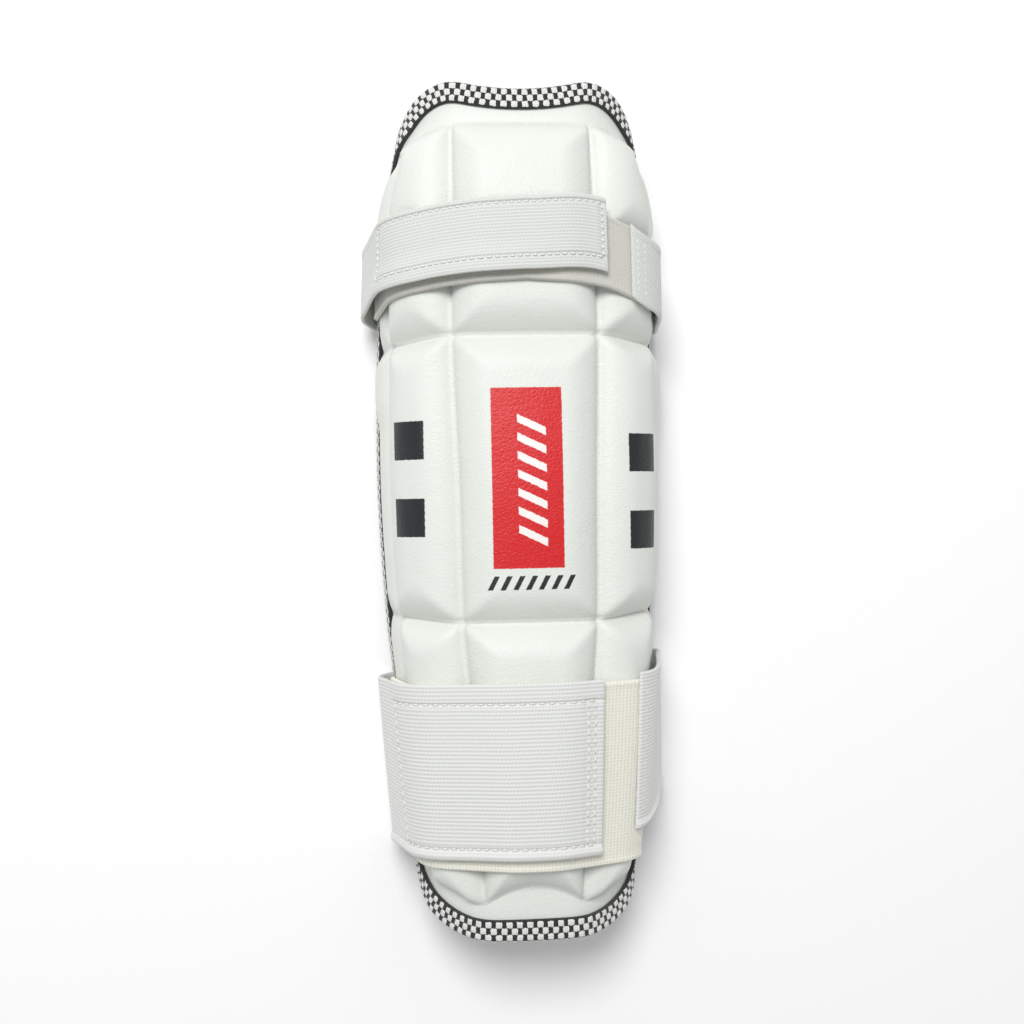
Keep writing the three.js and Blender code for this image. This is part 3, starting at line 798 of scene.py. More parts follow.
# Slanted stripes on the panel and bars under it: offsets, width of each, and length or height.
SLANT = 0.5
STRIPE_OFFSETS = tuple(18.0 - 6.0 * k for k in range(7))
STRIPE_WIDTH, STRIPE_LENGTH, STRIPE_SHIFT = 2.6, 9.0, 1.5
BAR_OFFSETS = tuple(-12.0 + 4.0 * k for k in range(7))
BAR_WIDTH, BAR_HEIGHT, BAR_PLACE = 1.7, 4.6, -22.6

# Softness of a printed edge, and how ragged the grain makes it.
INK_EDGE, INK_RAGGED = 0.00012, 0.0005


def coated_cloth(face):
    """Polyurethane coated cloth, moulded over foam: nearly matt, with a fine pressed grain, and
    printed marks whose ink is a little glossier than the cloth round them. The grain is about
    0.6 mm on the real cloth, and is drawn at 1.2 mm so that it shows."""
    material, tree, principled = shader("coated_cloth_moulded", face.cloth_colour, 0.52)
    at, u, v = pattern_axes(tree)
    grain_at = node(tree, "ShaderNodeTexVoronoi", {"feature": "DISTANCE_TO_EDGE"},
                    {"Vector": at, "Scale": 1 / 0.0012}).outputs[0]
    grain = maths(tree, "MINIMUM", grain_at, 0.3)
    pores = noise(tree, at, 0.0011, 3.0, 0.7)
    waves = noise(tree, at, 0.011, 3.0, 0.5)
    height = plus(tree, times(tree, grain, 1.6), times(tree, pores, 1.4))
    height = plus(tree, height, times(tree, waves, 3.0))
    bump(tree, principled, height, 0.00009)
    cloud = noise(tree, at, 0.03, 2.0)
    tint = blend_colours(tree, cloud, opaque(face.cloth_colour), linear("#DDE1DB"))
    ragged = minus(tree, noise(tree, at, 0.0012), 0.5)
    ragged = times(tree, ragged, INK_RAGGED)
    u = plus(tree, u, ragged)
    v = plus(tree, v, ragged)
    squares = None
    for x, y, wide, high in SQUARES:
        mask = box_mask(tree, u, v, (x * MM, y * MM), (wide * MM, high * MM), INK_EDGE)
        squares = mask if squares is None else maths(tree, "MAXIMUM", squares, mask)
    x, y, wide, high = (value * MM for value in PANEL)
    panel = box_mask(tree, u, v, (x, y), (wide, high), INK_EDGE)
    lean = times(tree, minus(tree, u, x), SLANT)
    slanted = plus(tree, v, lean)
    stripes, size = None, (STRIPE_LENGTH * MM, STRIPE_WIDTH * MM)
    for offset in STRIPE_OFFSETS:
        middle = (x + STRIPE_SHIFT * MM, y + offset * MM)
        stripe = box_mask(tree, u, slanted, middle, size, INK_EDGE)
        stripes = stripe if stripes is None else maths(tree, "MAXIMUM", stripes, stripe)
    lean = times(tree, minus(tree, v, BAR_PLACE * MM), SLANT)
    leaning = minus(tree, u, lean)
    for offset in BAR_OFFSETS:
        middle, size = (offset * MM, BAR_PLACE * MM), (BAR_WIDTH * MM, BAR_HEIGHT * MM)
        bar = box_mask(tree, leaning, v, middle, size, INK_EDGE)
        squares = maths(tree, "MAXIMUM", squares, bar)
    speckle = noise(tree, at, 0.0007, 2.0)
    red = blend_colours(tree, speckle, opaque(face.panel_colour), linear("#D4161C"))
    black = blend_colours(tree, speckle, opaque(face.square_colour), linear("#25292D"))
    colour = blend_colours(tree, panel, tint, red)
    colour = blend_colours(tree, times(tree, stripes, panel), colour, linear("#F2EDEA"))
    colour = blend_colours(tree, squares, colour, black)
    tree.links.new(colour, principled.inputs["Base Color"])
    ink = maths(tree, "MAXIMUM", panel, squares)
    rough = node(tree, "ShaderNodeMapRange", inputs={0: ink, 3: 0.52, 4: 0.42}).outputs[0]
    tree.links.new(rough, principled.inputs["Roughness"])
    return material


def knit_lining():
    """Brushed polyester knit, bonded to the foam: soft, matt and faintly ribbed."""
    material, tree, principled = shader("polyester_knit_brushed", linear("#D9DBDA"), 0.95)
    at, u, _ = pattern_axes(tree)
    ribs = wave(tree, u, 0.0018)
    fuzz = noise(tree, at, 0.0008, 3.0, 0.7)
    height = plus(tree, times(tree, ribs, 0.3), fuzz)
    bump(tree, principled, height, 0.00025)
    principled.inputs["Sheen Weight"].default_value = 0.3
    return material


def knit_binding(binding):
    """Two-colour knit elastic tape: raised white blocks between black ones, in staggered rows, with a
    plain black line at the tape's edge."""
    material, tree, principled = shader("knit_elastic_checked", binding.light_colour, 0.85)
    at, u, v = pattern_axes(tree)
    loops = wave(tree, u, 0.00065)
    courses = wave(tree, v, 0.0009)
    yarn = plus(tree, times(tree, loops, 0.8), times(tree, courses, 0.25))
    fuzz = noise(tree, at, 0.0004, 3.0, 0.7)
    bump(tree, principled, plus(tree, yarn, fuzz), 0.00012)
    drift = times(tree, minus(tree, noise(tree, at, 0.0009, 2.0), 0.5), 0.0007)
    u, v = plus(tree, u, drift), plus(tree, v, drift)
    across = maths(tree, "DIVIDE", minus(tree, v, binding.edge_line), binding.row_height)
    row = maths(tree, "FLOOR", across)
    shift = times(tree, maths(tree, "FLOORED_MODULO", row, 2.0), 0.5)
    along = maths(tree, "FRACT", plus(tree, maths(tree, "DIVIDE", u, binding.check_pitch), shift))
    wide, high = binding.white_share / 2, 0.49
    x = maths(tree, "DIVIDE", minus(tree, along, wide), wide)
    y = maths(tree, "DIVIDE", minus(tree, maths(tree, "FRACT", across), 0.5), high)
    shape = plus(
        tree, maths(tree, "POWER", maths(tree, "ABSOLUTE", x), 5.0),
        maths(tree, "POWER", maths(tree, "ABSOLUTE", y), 6.0),
    )
    ragged = plus(tree, shape, times(tree, minus(tree, fuzz, 0.5), 0.9))
    share = ramp(tree, ragged, 1.2, 0.8)
    last = binding.edge_line + binding.row_height * CHECK_ROWS
    past_line = maths(tree, "GREATER_THAN", v, binding.edge_line)
    share = times(tree, share, times(tree, past_line, maths(tree, "LESS_THAN", v, last)))
    black = blend_colours(tree, fuzz, opaque(binding.dark_colour), linear("#2F3533"))
    light = blend_colours(tree, fuzz, linear("#DCDCD8"), opaque(binding.light_colour))
    colour = blend_colours(tree, share, black, light)
    tree.links.new(colour, principled.inputs["Base Color"])
    principled.inputs["Sheen Weight"].default_value = 0.15
    return material


def woven_elastic(name, pitch, strap_colour, between):
    """Woven ribbed elastic in white polyester: cords along the strap crossed by fine picks, so each
    rib reads as a row of small stitches. The real picks are about 0.5 mm apart, and are drawn at
    1 mm so that they show. The low places between the ribs are darkened with painted shade."""
    material, tree, principled = shader(name, strap_colour, 0.82)
    at, u, v = pattern_axes(tree)
    row = maths(tree, "DIVIDE", u, pitch)
    stagger = times(tree, maths(tree, "FLOOR", row), math.pi)
    leaned = plus(tree, times(tree, v, 2 * math.pi / 0.001), times(tree, row, 1.6))
    picks = maths(tree, "SINE", plus(tree, leaned, stagger))
    cords = maths(tree, "COSINE", times(tree, row, 2 * math.pi))
    fuzz = noise(tree, at, 0.0006, 3.0, 0.7)
    height = plus(tree, times(tree, picks, 0.3), times(tree, cords, 0.5))
    height = plus(tree, height, times(tree, fuzz, 0.8))
    bump(tree, principled, height, 0.00007)
    # Painted shade: where the rib relief is low, in the hollows between ribs, the colour falls to the
    # darker between colour.
    hollow = ramp(tree, height, -0.5, 0.7)
    colour = blend_colours(tree, hollow, linear(between), opaque(strap_colour))
    tree.links.new(colour, principled.inputs["Base Color"])
    principled.inputs["Sheen Weight"].default_value = 0.2
    return material


def loop_pile(name, code, shade, ribbed):
    """Nylon loop tape: short brushed loops in knitted columns, cream and dull, with painted shade
    darkening the low places between them.
    """
    material, tree, principled = shader(name, linear(code), 0.95)
    at, u, v = pattern_axes(tree)
    columns = wave(tree, v, 0.0013)
    dots = wave(tree, u, 0.00105)
    fuzz = noise(tree, at, 0.0007, 4.0, 0.75)
    knit = plus(tree, times(tree, columns, 0.25), times(tree, dots, 0.15))
    height = times(tree, knit, ribbed)
    height = plus(tree, height, times(tree, fuzz, 1.6))
    bump(tree, principled, height, 0.00016)
    # Painted shade: where the pile's relief is low, the colour goes to the tape's darker second
    # colour.
    share = ramp(tree, height, 0.3, 1.1)
    colour = blend_colours(tree, share, linear(shade), linear(code))
    tree.links.new(colour, principled.inputs["Base Color"])
    principled.inputs["Sheen Weight"].default_value = 0.35
    return material


def hook_nylon():
    """Moulded nylon hook tape: cream, with a dull plastic gloss and hooks in tight rows."""
    material, tree, principled = shader("nylon_hooks_moulded", linear("#DDD8C0"), 0.6)
    _, u, v = pattern_axes(tree)
    rows = wave(tree, u, 0.0015)
    hooks = wave(tree, v, 0.0012)
    bump(tree, principled, times(tree, rows, hooks), 0.0003)
    return material


def sewing_thread():
    """Spun polyester thread: white, with a soft sheen from its twist."""
    material, tree, principled = shader("polyester_thread_spun", linear("#F0F0EC"), 0.6)
    at = node(tree, "ShaderNodeTexCoord").outputs["Object"]
    twist = node(tree, "ShaderNodeTexWave", inputs={"Vector": at, "Scale": 900.0, "Distortion": 1.0})
    bump(tree, principled, twist.outputs[1], 0.00008)
    principled.inputs["Sheen Weight"].default_value = 0.3
    return material


def set_pattern(mesh, read):
    """Write the pattern map from each vertex: read gives u and v in millimetres."""
    layer = mesh.loops.layers.uv.new("pattern")
    for face in mesh.faces:
        for loop in face.loops:
            u, v = read(loop.vert)
            loop[layer].uv = (u * MM, v * MM)


def squeeze(first, second, axis):
    """Share of the distance between two points of the pads' grid that is left once they are pressed
    in: axis 1 is across the guard and 2 is along it."""
    return min(math.dist(first[3], second[3]) / abs(second[axis] - first[axis]), 1.0)


def build_face(face):
    """The moulded face: a grid of pads on the flat pattern, a rim pulled out of its border, an
    underside drawn from it, and the whole laid on the guard's form."""
    rows, columns = len(ROW_LINES) - 1, 2 * sum(COLUMN_COUNTS)
    border = Border(0.4)
    mesh = grid(columns, rows)
    points = [[field_point(row, column) for column in range(columns + 1)] for row in range(rows + 1)]
    cell = {}
    for vertex in mesh.verts:
        cell[vertex] = round(vertex.co.y * rows), round(vertex.co.x * columns)
        row, column = cell[vertex]
        at = Vector(points[row][column][3])
        if vertex.is_boundary:
            index = border.tree.find((*at, 0.0))[1]
            at -= border.outward[index] * (at - border.points[index]).dot(border.outward[index])
        vertex.co = (*at, 0.0)
    first_x, first_y = CORNER_FROM
    corners = [
        v for v in mesh.verts
        if abs(v.co.x) > first_x and abs(v.co.y) > first_y and not v.is_boundary
    ]
    for _ in range(CORNER_PASSES):
        bmesh.ops.smooth_vert(mesh, verts=corners, factor=0.5, use_axis_x=True, use_axis_y=True)
    for vertex in corners:
        row, column = cell[vertex]
        ring = min(row, rows - row, column, columns - column)
        border.keep_in(vertex, RING_MARGIN * ring)
    for vertex in mesh.verts:
        row, column = cell[vertex]
        section, across, place, _ = points[row][column]
        along = squeeze(points[max(row - 1, 0)][column], points[min(row + 1, rows)][column], 2)
        wide = squeeze(points[row][max(column - 1, 0)], points[row][min(column + 1, columns)], 1)
        limit = soft_least(row_edge_distance(place) * along, border.distance(vertex.co), PAD_CORNER)
        vertex.co.z = pad_height(section, across, limit, face, wide)
    for before, out in ((0.0, PAD_SETBACK), (PAD_SETBACK, 5.0), (5.0, RIM_WIDTH)):
        edge = [e for e in mesh.edges if e.is_boundary]
        ring = bmesh.ops.extrude_edge_only(mesh, edges=edge)["geom"]
        for vertex in (v for v in ring if isinstance(v, bmesh.types.BMVert)):
            _, index, _ = border.tree.find((*vertex.co.xy, 0.0))
            vertex.co.xy = vertex.co.xy + border.outward[index] * (out - before)
            vertex.co.z = 0.0
    everything = mesh.verts[:] + mesh.edges[:] + mesh.faces[:]
    under = bmesh.ops.extrude_face_region(mesh, geom=everything, use_keep_orig=True)["geom"]
    for vertex in (v for v in under if isinstance(v, bmesh.types.BMVert)):
        vertex.co.z = -BASE_THICKNESS
    set_pattern(mesh, lambda vertex: (vertex.co.x, vertex.co.y))
    for part in mesh.faces:
        part.material_index = int(all(v.co.z < 0.5 - BASE_THICKNESS for v in part.verts))
    for vertex in mesh.verts:
        vertex.co = on_guard(*vertex.co)
    piece = finish_piece("padded_shell", mesh, (coated_cloth(face), knit_lining()))
    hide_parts("moulded_face")
    return piece


def fold_profile(step):
    """The binding's outer surface from its edge on the pads, over the fold, to its edge inside: its
    points out from the pads and up, the ways out of the tape there, and the lengths along it."""
    over, under = CLEARANCE, -BASE_THICKNESS - CLEARANCE
    top, bottom = over + BINDING_THICKNESS, under - BINDING_THICKNESS
    edge = RIM_WIDTH + CLEARANCE
    path = [(PAD_SETBACK, over), (PAD_SETBACK + 0.1, top - 0.45)]
    path += [(PAD_SETBACK + 0.6, top), (edge, top)]
    middle, high = (top + bottom) / 2, (top - bottom) / 2
    for k in range(1, 24):
        angle = math.pi * (0.5 - k / 24)
        x = BINDING_THICKNESS * math.cos(angle) ** 0.8
        path.append((edge + x, middle + high * sign(angle) * abs(math.sin(angle)) ** 0.8))
    path += [(edge, bottom), (PAD_SETBACK + 0.6, bottom), (PAD_SETBACK + 0.1, bottom + 0.45)]
    path.append((PAD_SETBACK, under))
    gaps = [math.dist(a, b) for a, b in zip(path, path[1:])]
    total = sum(gaps)
    points = []
    for along, i, t in even_places(gaps, round(total / step)):
        (x0, z0), (x1, z1) = path[i], path[i + 1]
        way = Vector((z0 - z1, x1 - x0)).normalized()
        points.append((Vector((mix(x0, x1, t), mix(z0, z1, t))), way, along))
    return points, total


def check_relief(binding, u, v):
    """How far a knit block stands out, at lengths along and across the tape in millimetres."""
    across = (v - binding.edge_line / MM) / (binding.row_height / MM)
    if not 0 < across < CHECK_ROWS:
        return 0.0
    along = (u / (binding.check_pitch / MM) + 0.5 * (math.floor(across) % 2)) % 1.0
    wide = binding.white_share / 2
    x, y = (along - wide) / wide, (across % 1.0 - 0.5) / 0.49
    inside = 1 - abs(x) ** 4 - abs(y) ** 4
    return (binding.block_rise / MM) * math.sqrt(max(inside, 0.0))


def build_binding(binding):
    """The binding: one folded tape swept round the rim, its blocks raised, then laid on the form."""
    pitch = binding.check_pitch / MM
    border = Border(0.5)
    border.even_out(RIM_WIDTH - 1, pitch / 6, 12)
    profile, total = fold_profile(0.5)
    near, far, bottom = PAD_SETBACK + 0.6, RIM_WIDTH + CLEARANCE, -BASE_THICKNESS - CLEARANCE
    inside = [(near, bottom), (far, bottom), (far, CLEARANCE), (near, CLEARANCE)]
    around = len(profile) + len(inside)
    mesh = grid(around, border.count)
    pattern = mesh.verts.layers.float_vector.new("pattern")
    for vertex in mesh.verts:
        k, step = round(vertex.co.x * around) % around, round(vertex.co.y * border.count)
        u = step * pitch / 6
        if k < len(profile):
            at, way, v = profile[k]
            rise = check_relief(binding, u, v)
            out, height = at.x + way.x * rise, at.y + way.y * rise
        else:
            (out, height), v = inside[k - len(profile)], total
        vertex[pattern] = (u, v, 0.0)
        vertex.co = (*border.out(step % border.count, out), height)
    set_pattern(mesh, lambda vertex: vertex[pattern].xy)
    for vertex in mesh.verts:
        vertex.co = on_guard(*vertex.co)
    bmesh.ops.remove_doubles(mesh, verts=mesh.verts, dist=0.001)
    piece = finish_piece("edge_tape", mesh, (knit_binding(binding),))
    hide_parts("edge_binding")
    return piece


def even_stops(start, end, reach, step, round_end):
    """Stops along a band in even steps, with a few close ones where its ends are rounded."""
    length = (end - start) * reach
    close = [0.0, 0.12, 0.35, 0.7] if round_end else [0.0]
    count = max(round((length - 2 * close[-1]) / step), 1)
    middle = [mix(close[-1], length - close[-1], k / count) for k in range(count + 1)]
    lengths = close[:-1] + middle + [length - c for c in reversed(close[:-1])]
    return [start + at / reach for at in lengths]


def tape_loop(width, thickness, step_over, step_under):
    """The section of a flat tape, once round from its elbow side: points across it and up from its
    underside, with rounded edges. The first run is its outer face."""
    flat = width / 2 - thickness / 2
    over, under = max(round(2 * flat / step_over), 1), max(round(2 * flat / step_under), 1)
    points = [(flat - 2 * flat * k / over, thickness) for k in range(over + 1)]
    for k in range(1, 5):
        angle = math.pi * k / 5
        across, up = thickness / 2 * math.sin(angle), thickness / 2 * (1 + math.cos(angle))
        points.append((-flat - across, up))
    points += [(-flat + 2 * flat * k / under, 0.0) for k in range(under + 1)]
    for k in range(1, 5):
        angle = math.pi * k / 5
        across, up = thickness / 2 * math.sin(angle), thickness / 2 * (1 - math.cos(angle))
        points.append((flat + across, up))
    return points


def tape_mesh(stops, reach, loop, width, middle, lay, relief):
    """A flat tape along a band. width and middle give its share of the loop's width and its middle
    line at each stop, lay puts a point on the band, and relief raises its outer face."""
    around, rows = len(loop), len(stops) - 1
    thick = max(h for _, h in loop)
    mesh = grid(around, rows)
    pattern = mesh.verts.layers.float_vector.new("pattern")
    length = (stops[-1] - stops[0]) * reach
    for vertex in mesh.verts:
        k, row = round(vertex.co.x * around) % around, round(vertex.co.y * rows)
        stop = stops[row]
        along = (stop - stops[0]) * reach
        from_end = min(along, length - along)
        full = shoulder(from_end + 0.04, thick / 2)
        q, h = loop[k]
        h = thick / 2 + (h - thick / 2) * full
        if loop[k][1] > thick / 2:
            h += relief(stop, q, along) * full
        vertex[pattern] = (q, along, 0.0)
        at = lay(stop, middle(stop) + q * width(stop), h)
        # The weight presses the strap flat where it meets the board.
        vertex.co = (at.x, at.y, max(at.z, 0.0))
    set_pattern(mesh, lambda vertex: vertex[pattern].xy)
    bmesh.ops.remove_doubles(mesh, verts=mesh.verts, dist=0.0005)
    bmesh.ops.holes_fill(mesh, edges=[e for e in mesh.edges if e.is_boundary], sides=0)
    return mesh, length


# The dent along a line of stitches.
SEAM_DEPTH, SEAM_WIDTH = 0.55, 1.0


def groove(distance):
    """A rounded dent along a line of stitches, at a distance from it."""
    t = min(abs(distance) / SEAM_WIDTH, 1.0)
    return -SEAM_DEPTH * (1 - t * t) ** 2


def ribs(q, pitch, depth):
    return depth * (0.5 * math.cos(2 * math.pi * q / pitch) - 0.5)


class Seams:
    """Where a strap's fastened end is stitched: lines along and across, as millimetres over the strap
    from its end and its middle."""

    def __init__(self, top, bottom, far, near):
        self.top, self.bottom, self.far, self.near = top, bottom, far, near

    def dent(self, from_end, q):
        """How deep the thread draws the cloth in at a point."""
        total = 0.0
        if -1 < from_end < self.far + 1:
            total += groove(q - self.top) + groove(q - self.bottom)
        if self.bottom - 1 < q < self.top + 1:
            for line in (*self.near, self.far):
                total += groove(from_end - line)
        return max(total, -1.4 * SEAM_DEPTH)


UPPER_SEAMS = Seams(top=9.8, bottom=-7.6, far=76.0, near=(1.8,))
LOWER_SEAMS = Seams(top=22.6, bottom=-25.2, far=68.0, near=(3.2, 5.6))


def build_upper_strap(face, strap):
    upper, _ = make_bands(face)
    pitch, depth = strap.upper_rib_pitch / MM, strap.rib_depth / MM
    start, end = upper.seam, 2 + upper.end

    def relief(stop, q, along):
        from_end = (end - stop) * upper.reach
        puff = 0.3 * smooth(q, 8.5, 10.5)
        return ribs(q, pitch, depth) + puff + UPPER_SEAMS.dent(from_end, q)

    def lay(stop, place, height):
        lift = upper.front_lift(stop, place - upper.upper_place(stop, "right"))
        return upper.strap_point(stop, place, height + lift)[0]

    loop = tape_loop(UPPER_WIDTH, ELASTIC_THICKNESS, pitch / 4, 1.0)
    stops = even_stops(start, end, upper.reach, 1.1, True)
    mesh, length = tape_mesh(
        stops, upper.reach, loop, lambda stop: 1.0,
        lambda stop: upper.upper_place(stop, "right"), lay, relief,
    )
    # The between colour #C8CCC8 is painted shade for the hollows between the narrow strap's ribs.
    material = woven_elastic(
        "elastic_ribbed_narrow", strap.upper_rib_pitch, strap.narrow_colour, "#C8CCC8"
    )
    piece = finish_piece("narrow_elastic", mesh, (material,))
    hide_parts("upper_strap")


def build_lower_strap(face, strap):
    _, lower = make_bands(face)
    pitch, depth = strap.lower_rib_pitch / MM, strap.rib_depth / MM
    start, end = lower.seam, 2 + lower.end

    def relief(stop, q, along):
        from_end = (end - stop) * lower.reach
        rolled = 0.8 * math.sin(math.pi * min(max((q + LOWER_WIDTH / 2) / 3.2, 0.0), 1.0))
        plain = smooth(q, -LOWER_WIDTH / 2 + 2.6, -LOWER_WIDTH / 2 + 3.6)
        return ribs(q, pitch, depth) * plain + rolled + LOWER_SEAMS.dent(from_end, q)

    loop = tape_loop(LOWER_WIDTH, ELASTIC_THICKNESS, pitch / 4, 1.5)
    stops = even_stops(start, end, lower.reach, 1.3, True)
    mesh, length = tape_mesh(
        stops, lower.reach, loop, lambda stop: lower.lower_width(stop) / LOWER_WIDTH,
        lower.lower_place, lambda stop, place, height: lower.strap_point(stop, place, height)[0],
        relief,
    )
    # The between colour #D0D3D1 is painted shade for the hollows between the wide strap's ribs.
    material = woven_elastic(
        "elastic_ribbed_wide", strap.lower_rib_pitch, strap.wide_colour, "#D0D3D1"
    )
    piece = finish_piece("wide_elastic", mesh, (material,))
    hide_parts("lower_strap")


def build_tapes(face):
    """The loop tapes on the face and the hook tapes under the straps' fastened ends."""
    upper, lower = make_bands(face)
    # The second colour of each tape is painted shade for the low places of its pile.
    tapes = (
        ("upper", upper, UPPER_TAPE_WIDTH, UPPER_HOOK_WIDTH,
         lambda stop: upper.upper_place(stop, "tape") + UPPER_TAPE_SHIFT,
         lambda stop: upper.upper_place(stop, "right"), "#D3D3CC", "#BEBDB5", 0.25),
        ("lower", lower, LOWER_TAPE_WIDTH, LOWER_HOOK_WIDTH,
         lambda stop: LOWER_TAPE_PLACE, lambda stop: LOWER_PLACE, "#F3F2E7", "#E3E1D3", 1.0),
    )
    for name, band, pile_width, hook_width, pile_middle, hook_middle, code, shade, ribbed in tapes:

        def tuft(stop, q, along):
            from_edge = pile_width / 2 - abs(q)
            selvage = 0.4 * math.sin(math.pi * min(from_edge / 1.8, 1.0))
            return selvage + 0.05 * math.sin(along * 4.8) * math.sin(q * 6.0)

        loop = tape_loop(pile_width, LOOP_THICKNESS, 0.8, 1.5)
        stops = even_stops(-band.tape, band.seam + HEM / band.reach, band.reach, 0.9, True)
        mesh, length = tape_mesh(
            stops, band.reach, loop, lambda stop: 1.0, pile_middle,
            lambda stop, place, height: band.tape_point(stop, place, ON_FACE + height)[0], tuft,
        )
        pile = loop_pile(f"nylon_loops_{name}", code, shade, ribbed)
        piece = finish_piece(f"{name}_pile", mesh, (pile,))
        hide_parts(f"{name}_loop_tape")
        loop = tape_loop(hook_width, HOOK_THICKNESS, 1.0, 1.5)
        stops = even_stops(band.hook_start, band.hook_end, band.reach, 1.2, True)
        mesh, length = tape_mesh(
            stops, band.reach, loop, lambda stop: 1.0, hook_middle,
            lambda stop, place, height: band.tape_point(stop, place, ON_TAPE + height)[0],
            lambda stop, q, along: 0.0,
        )
        piece = finish_piece(f"{name}_hooks", mesh, (hook_nylon(),))
        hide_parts(f"{name}_hook_tape")


def add_stitch(mesh, start, end, out, thick):
    """One short stitch of thread from start to end, half sunk in the cloth below it."""
    made = bmesh.ops.create_uvsphere(mesh, u_segments=6, v_segments=4, radius=0.5)["verts"]
    way = end - start
    size = Vector((way.length, thick, thick * 0.8))
    side = out.cross(way).normalized()
    turn = Matrix((way.normalized(), side, way.normalized().cross(side))).transposed()
    bmesh.ops.scale(mesh, vec=size, verts=made)
    bmesh.ops.rotate(mesh, matrix=turn, verts=made)
    bmesh.ops.translate(mesh, vec=(start + end) / 2, verts=made)


def stitch_line(mesh, path, lay, pitch, filled, thick):
    """Stitches along a line of points on a band, each as long as its filled share of the pitch."""
    lengths = [math.dist(a, b) for a, b in zip(path, path[1:])]
    total = sum(lengths)
    count = max(round(total / pitch), 1)

    def at(wanted):
        passed = 0.0
        for (a, b), length in zip(zip(path, path[1:]), lengths):
            if wanted <= passed + length or b is path[-1]:
                t = min((wanted - passed) / length, 1.0)
                return lay(mix(a[0], b[0], t), mix(a[1], b[1], t))
            passed += length
        raise ValueError("the line has no length")

    for k in range(count):
        first, out = at(total * (k + (1 - filled) / 2) / count)
        last, _ = at(total * (k + (1 + filled) / 2) / count)
        add_stitch(mesh, first, last, out, thick)


# How deep the middle of a stitch lies in the strap.
THREAD_SINK, SEAM_SINK = 0.22, 0.2


def build_stitching(face):
    """Sewing thread round the fastened ends of the straps and at the seams of the loop tapes."""
    upper, lower = make_bands(face)
    mesh = bmesh.new()
    runs = (
        (upper, UPPER_SEAMS, lambda stop: upper.upper_place(stop, "right"), lambda stop: 1.0, 2.3),
        (lower, LOWER_SEAMS, lower.lower_place,
         lambda stop: lower.lower_width(stop) / LOWER_WIDTH, 2.9),
    )
    for band, seams, middle, width, pitch in runs:
        end = 2 + band.end

        def on_strap(from_end, q):
            stop = end - from_end / band.reach
            lift = band.front_lift(stop, q) if band is upper else 0.0
            height = ELASTIC_THICKNESS - THREAD_SINK + lift
            return band.strap_point(stop, middle(stop) + q * width(stop), height)

        lines = [((seams.near[0], q), (seams.far, q)) for q in (seams.top, seams.bottom)]
        lines += [((along, seams.bottom), (along, seams.top)) for along in (*seams.near, seams.far)]
        for line in lines:
            stitch_line(mesh, line, on_strap, pitch, 0.74, 0.75)
        seam_lines = (2.0, 4.5) if band is upper else (2.5,)
        reach = (UPPER_TAPE_WIDTH if band is upper else LOWER_NARROW) / 2 - 3

        def on_seam(along, q):
            stop = band.seam + along / band.reach
            return band.strap_point(stop, middle(stop) + q, ELASTIC_THICKNESS - SEAM_SINK)

        for along in seam_lines:
            stitch_line(mesh, ((along, -reach), (along, reach)), on_seam, pitch, 0.7, 0.7)
    set_pattern(mesh, lambda vertex: (0.0, 0.0))
    finish_piece("stitches", mesh, (sewing_thread(),))


def painted_board():
    """Matt white painted board under the guard."""
    material, tree, principled = shader("board_painted_matt", linear("#FCFCFC"), 0.9)
    at = node(tree, "ShaderNodeTexCoord").outputs["Object"]
    bump(tree, principled, noise(tree, at, 0.004), 0.00002)
    return material


def area_light(name, size, power, place, aim):
    data = bpy.data.lights.new(name, "AREA")
    data.shape, data.size, data.energy = "DISK", size, power
    lamp = add_object(name, data)
    lamp.location = place
    lamp.rotation_euler = (Vector(aim) - Vector(place)).to_track_quat("-Z", "Y").to_euler()


# The key light: its size and place in metres, and what it is aimed at.
KEY_SIZE, KEY_PLACE, KEY_AIM = 0.6, (-0.22, 0.62, 1.23), (0.0, 0.0, 0.02)

# The board under the guard: its side and how far it lies below it, in metres.
BOARD_SIDE, BOARD_GAP = 4.0, 0.0002

# The photograph's view: camera place in metres, turn in radians about an axis, and its lens.
CAMERA_PLACE = (-0.0408727, 0.0038824, 0.5119733)
CAMERA_TURN = (-0.00624243, -0.07991879, -0.01941347)
CAMERA_LENS = 49.43


def build_stage(stage):
    mesh = grid(1, 1)
    bmesh.ops.translate(mesh, vec=(-0.5, -0.5, 0.0), verts=mesh.verts)
    bmesh.ops.scale(mesh, vec=(BOARD_SIDE, BOARD_SIDE, 1.0), verts=mesh.verts)
    data = bpy.data.meshes.new("floor")
    mesh.to_mesh(data)
    mesh.free()
    data.materials.append(painted_board())
    floor = add_object("floor", data)
    floor.location.z = -BOARD_GAP
    world = bpy.data.worlds.new("studio")
    world.use_nodes = True
    background = world.node_tree.nodes["Background"]
    background.inputs["Color"].default_value = (1.0, 1.0, 1.0, 1.0)
    background.inputs["Strength"].default_value = stage.fill
    scene = bpy.context.scene
    scene.world = world
    scene.view_settings.view_transform = "Standard"
    area_light("key", KEY_SIZE, stage.key, KEY_PLACE, KEY_AIM)
    data = bpy.data.cameras.new("photo_view")
    data.lens, data.sensor_width = CAMERA_LENS, 36.0
    data.clip_start, data.clip_end = 0.01, 20.0
    camera = add_object("photo_view", data)
    turn = Vector(CAMERA_TURN)
    camera.matrix_world = Matrix.Translation(CAMERA_PLACE) @ Matrix.Rotation(turn.length, 4, turn)
    scene.camera = camera


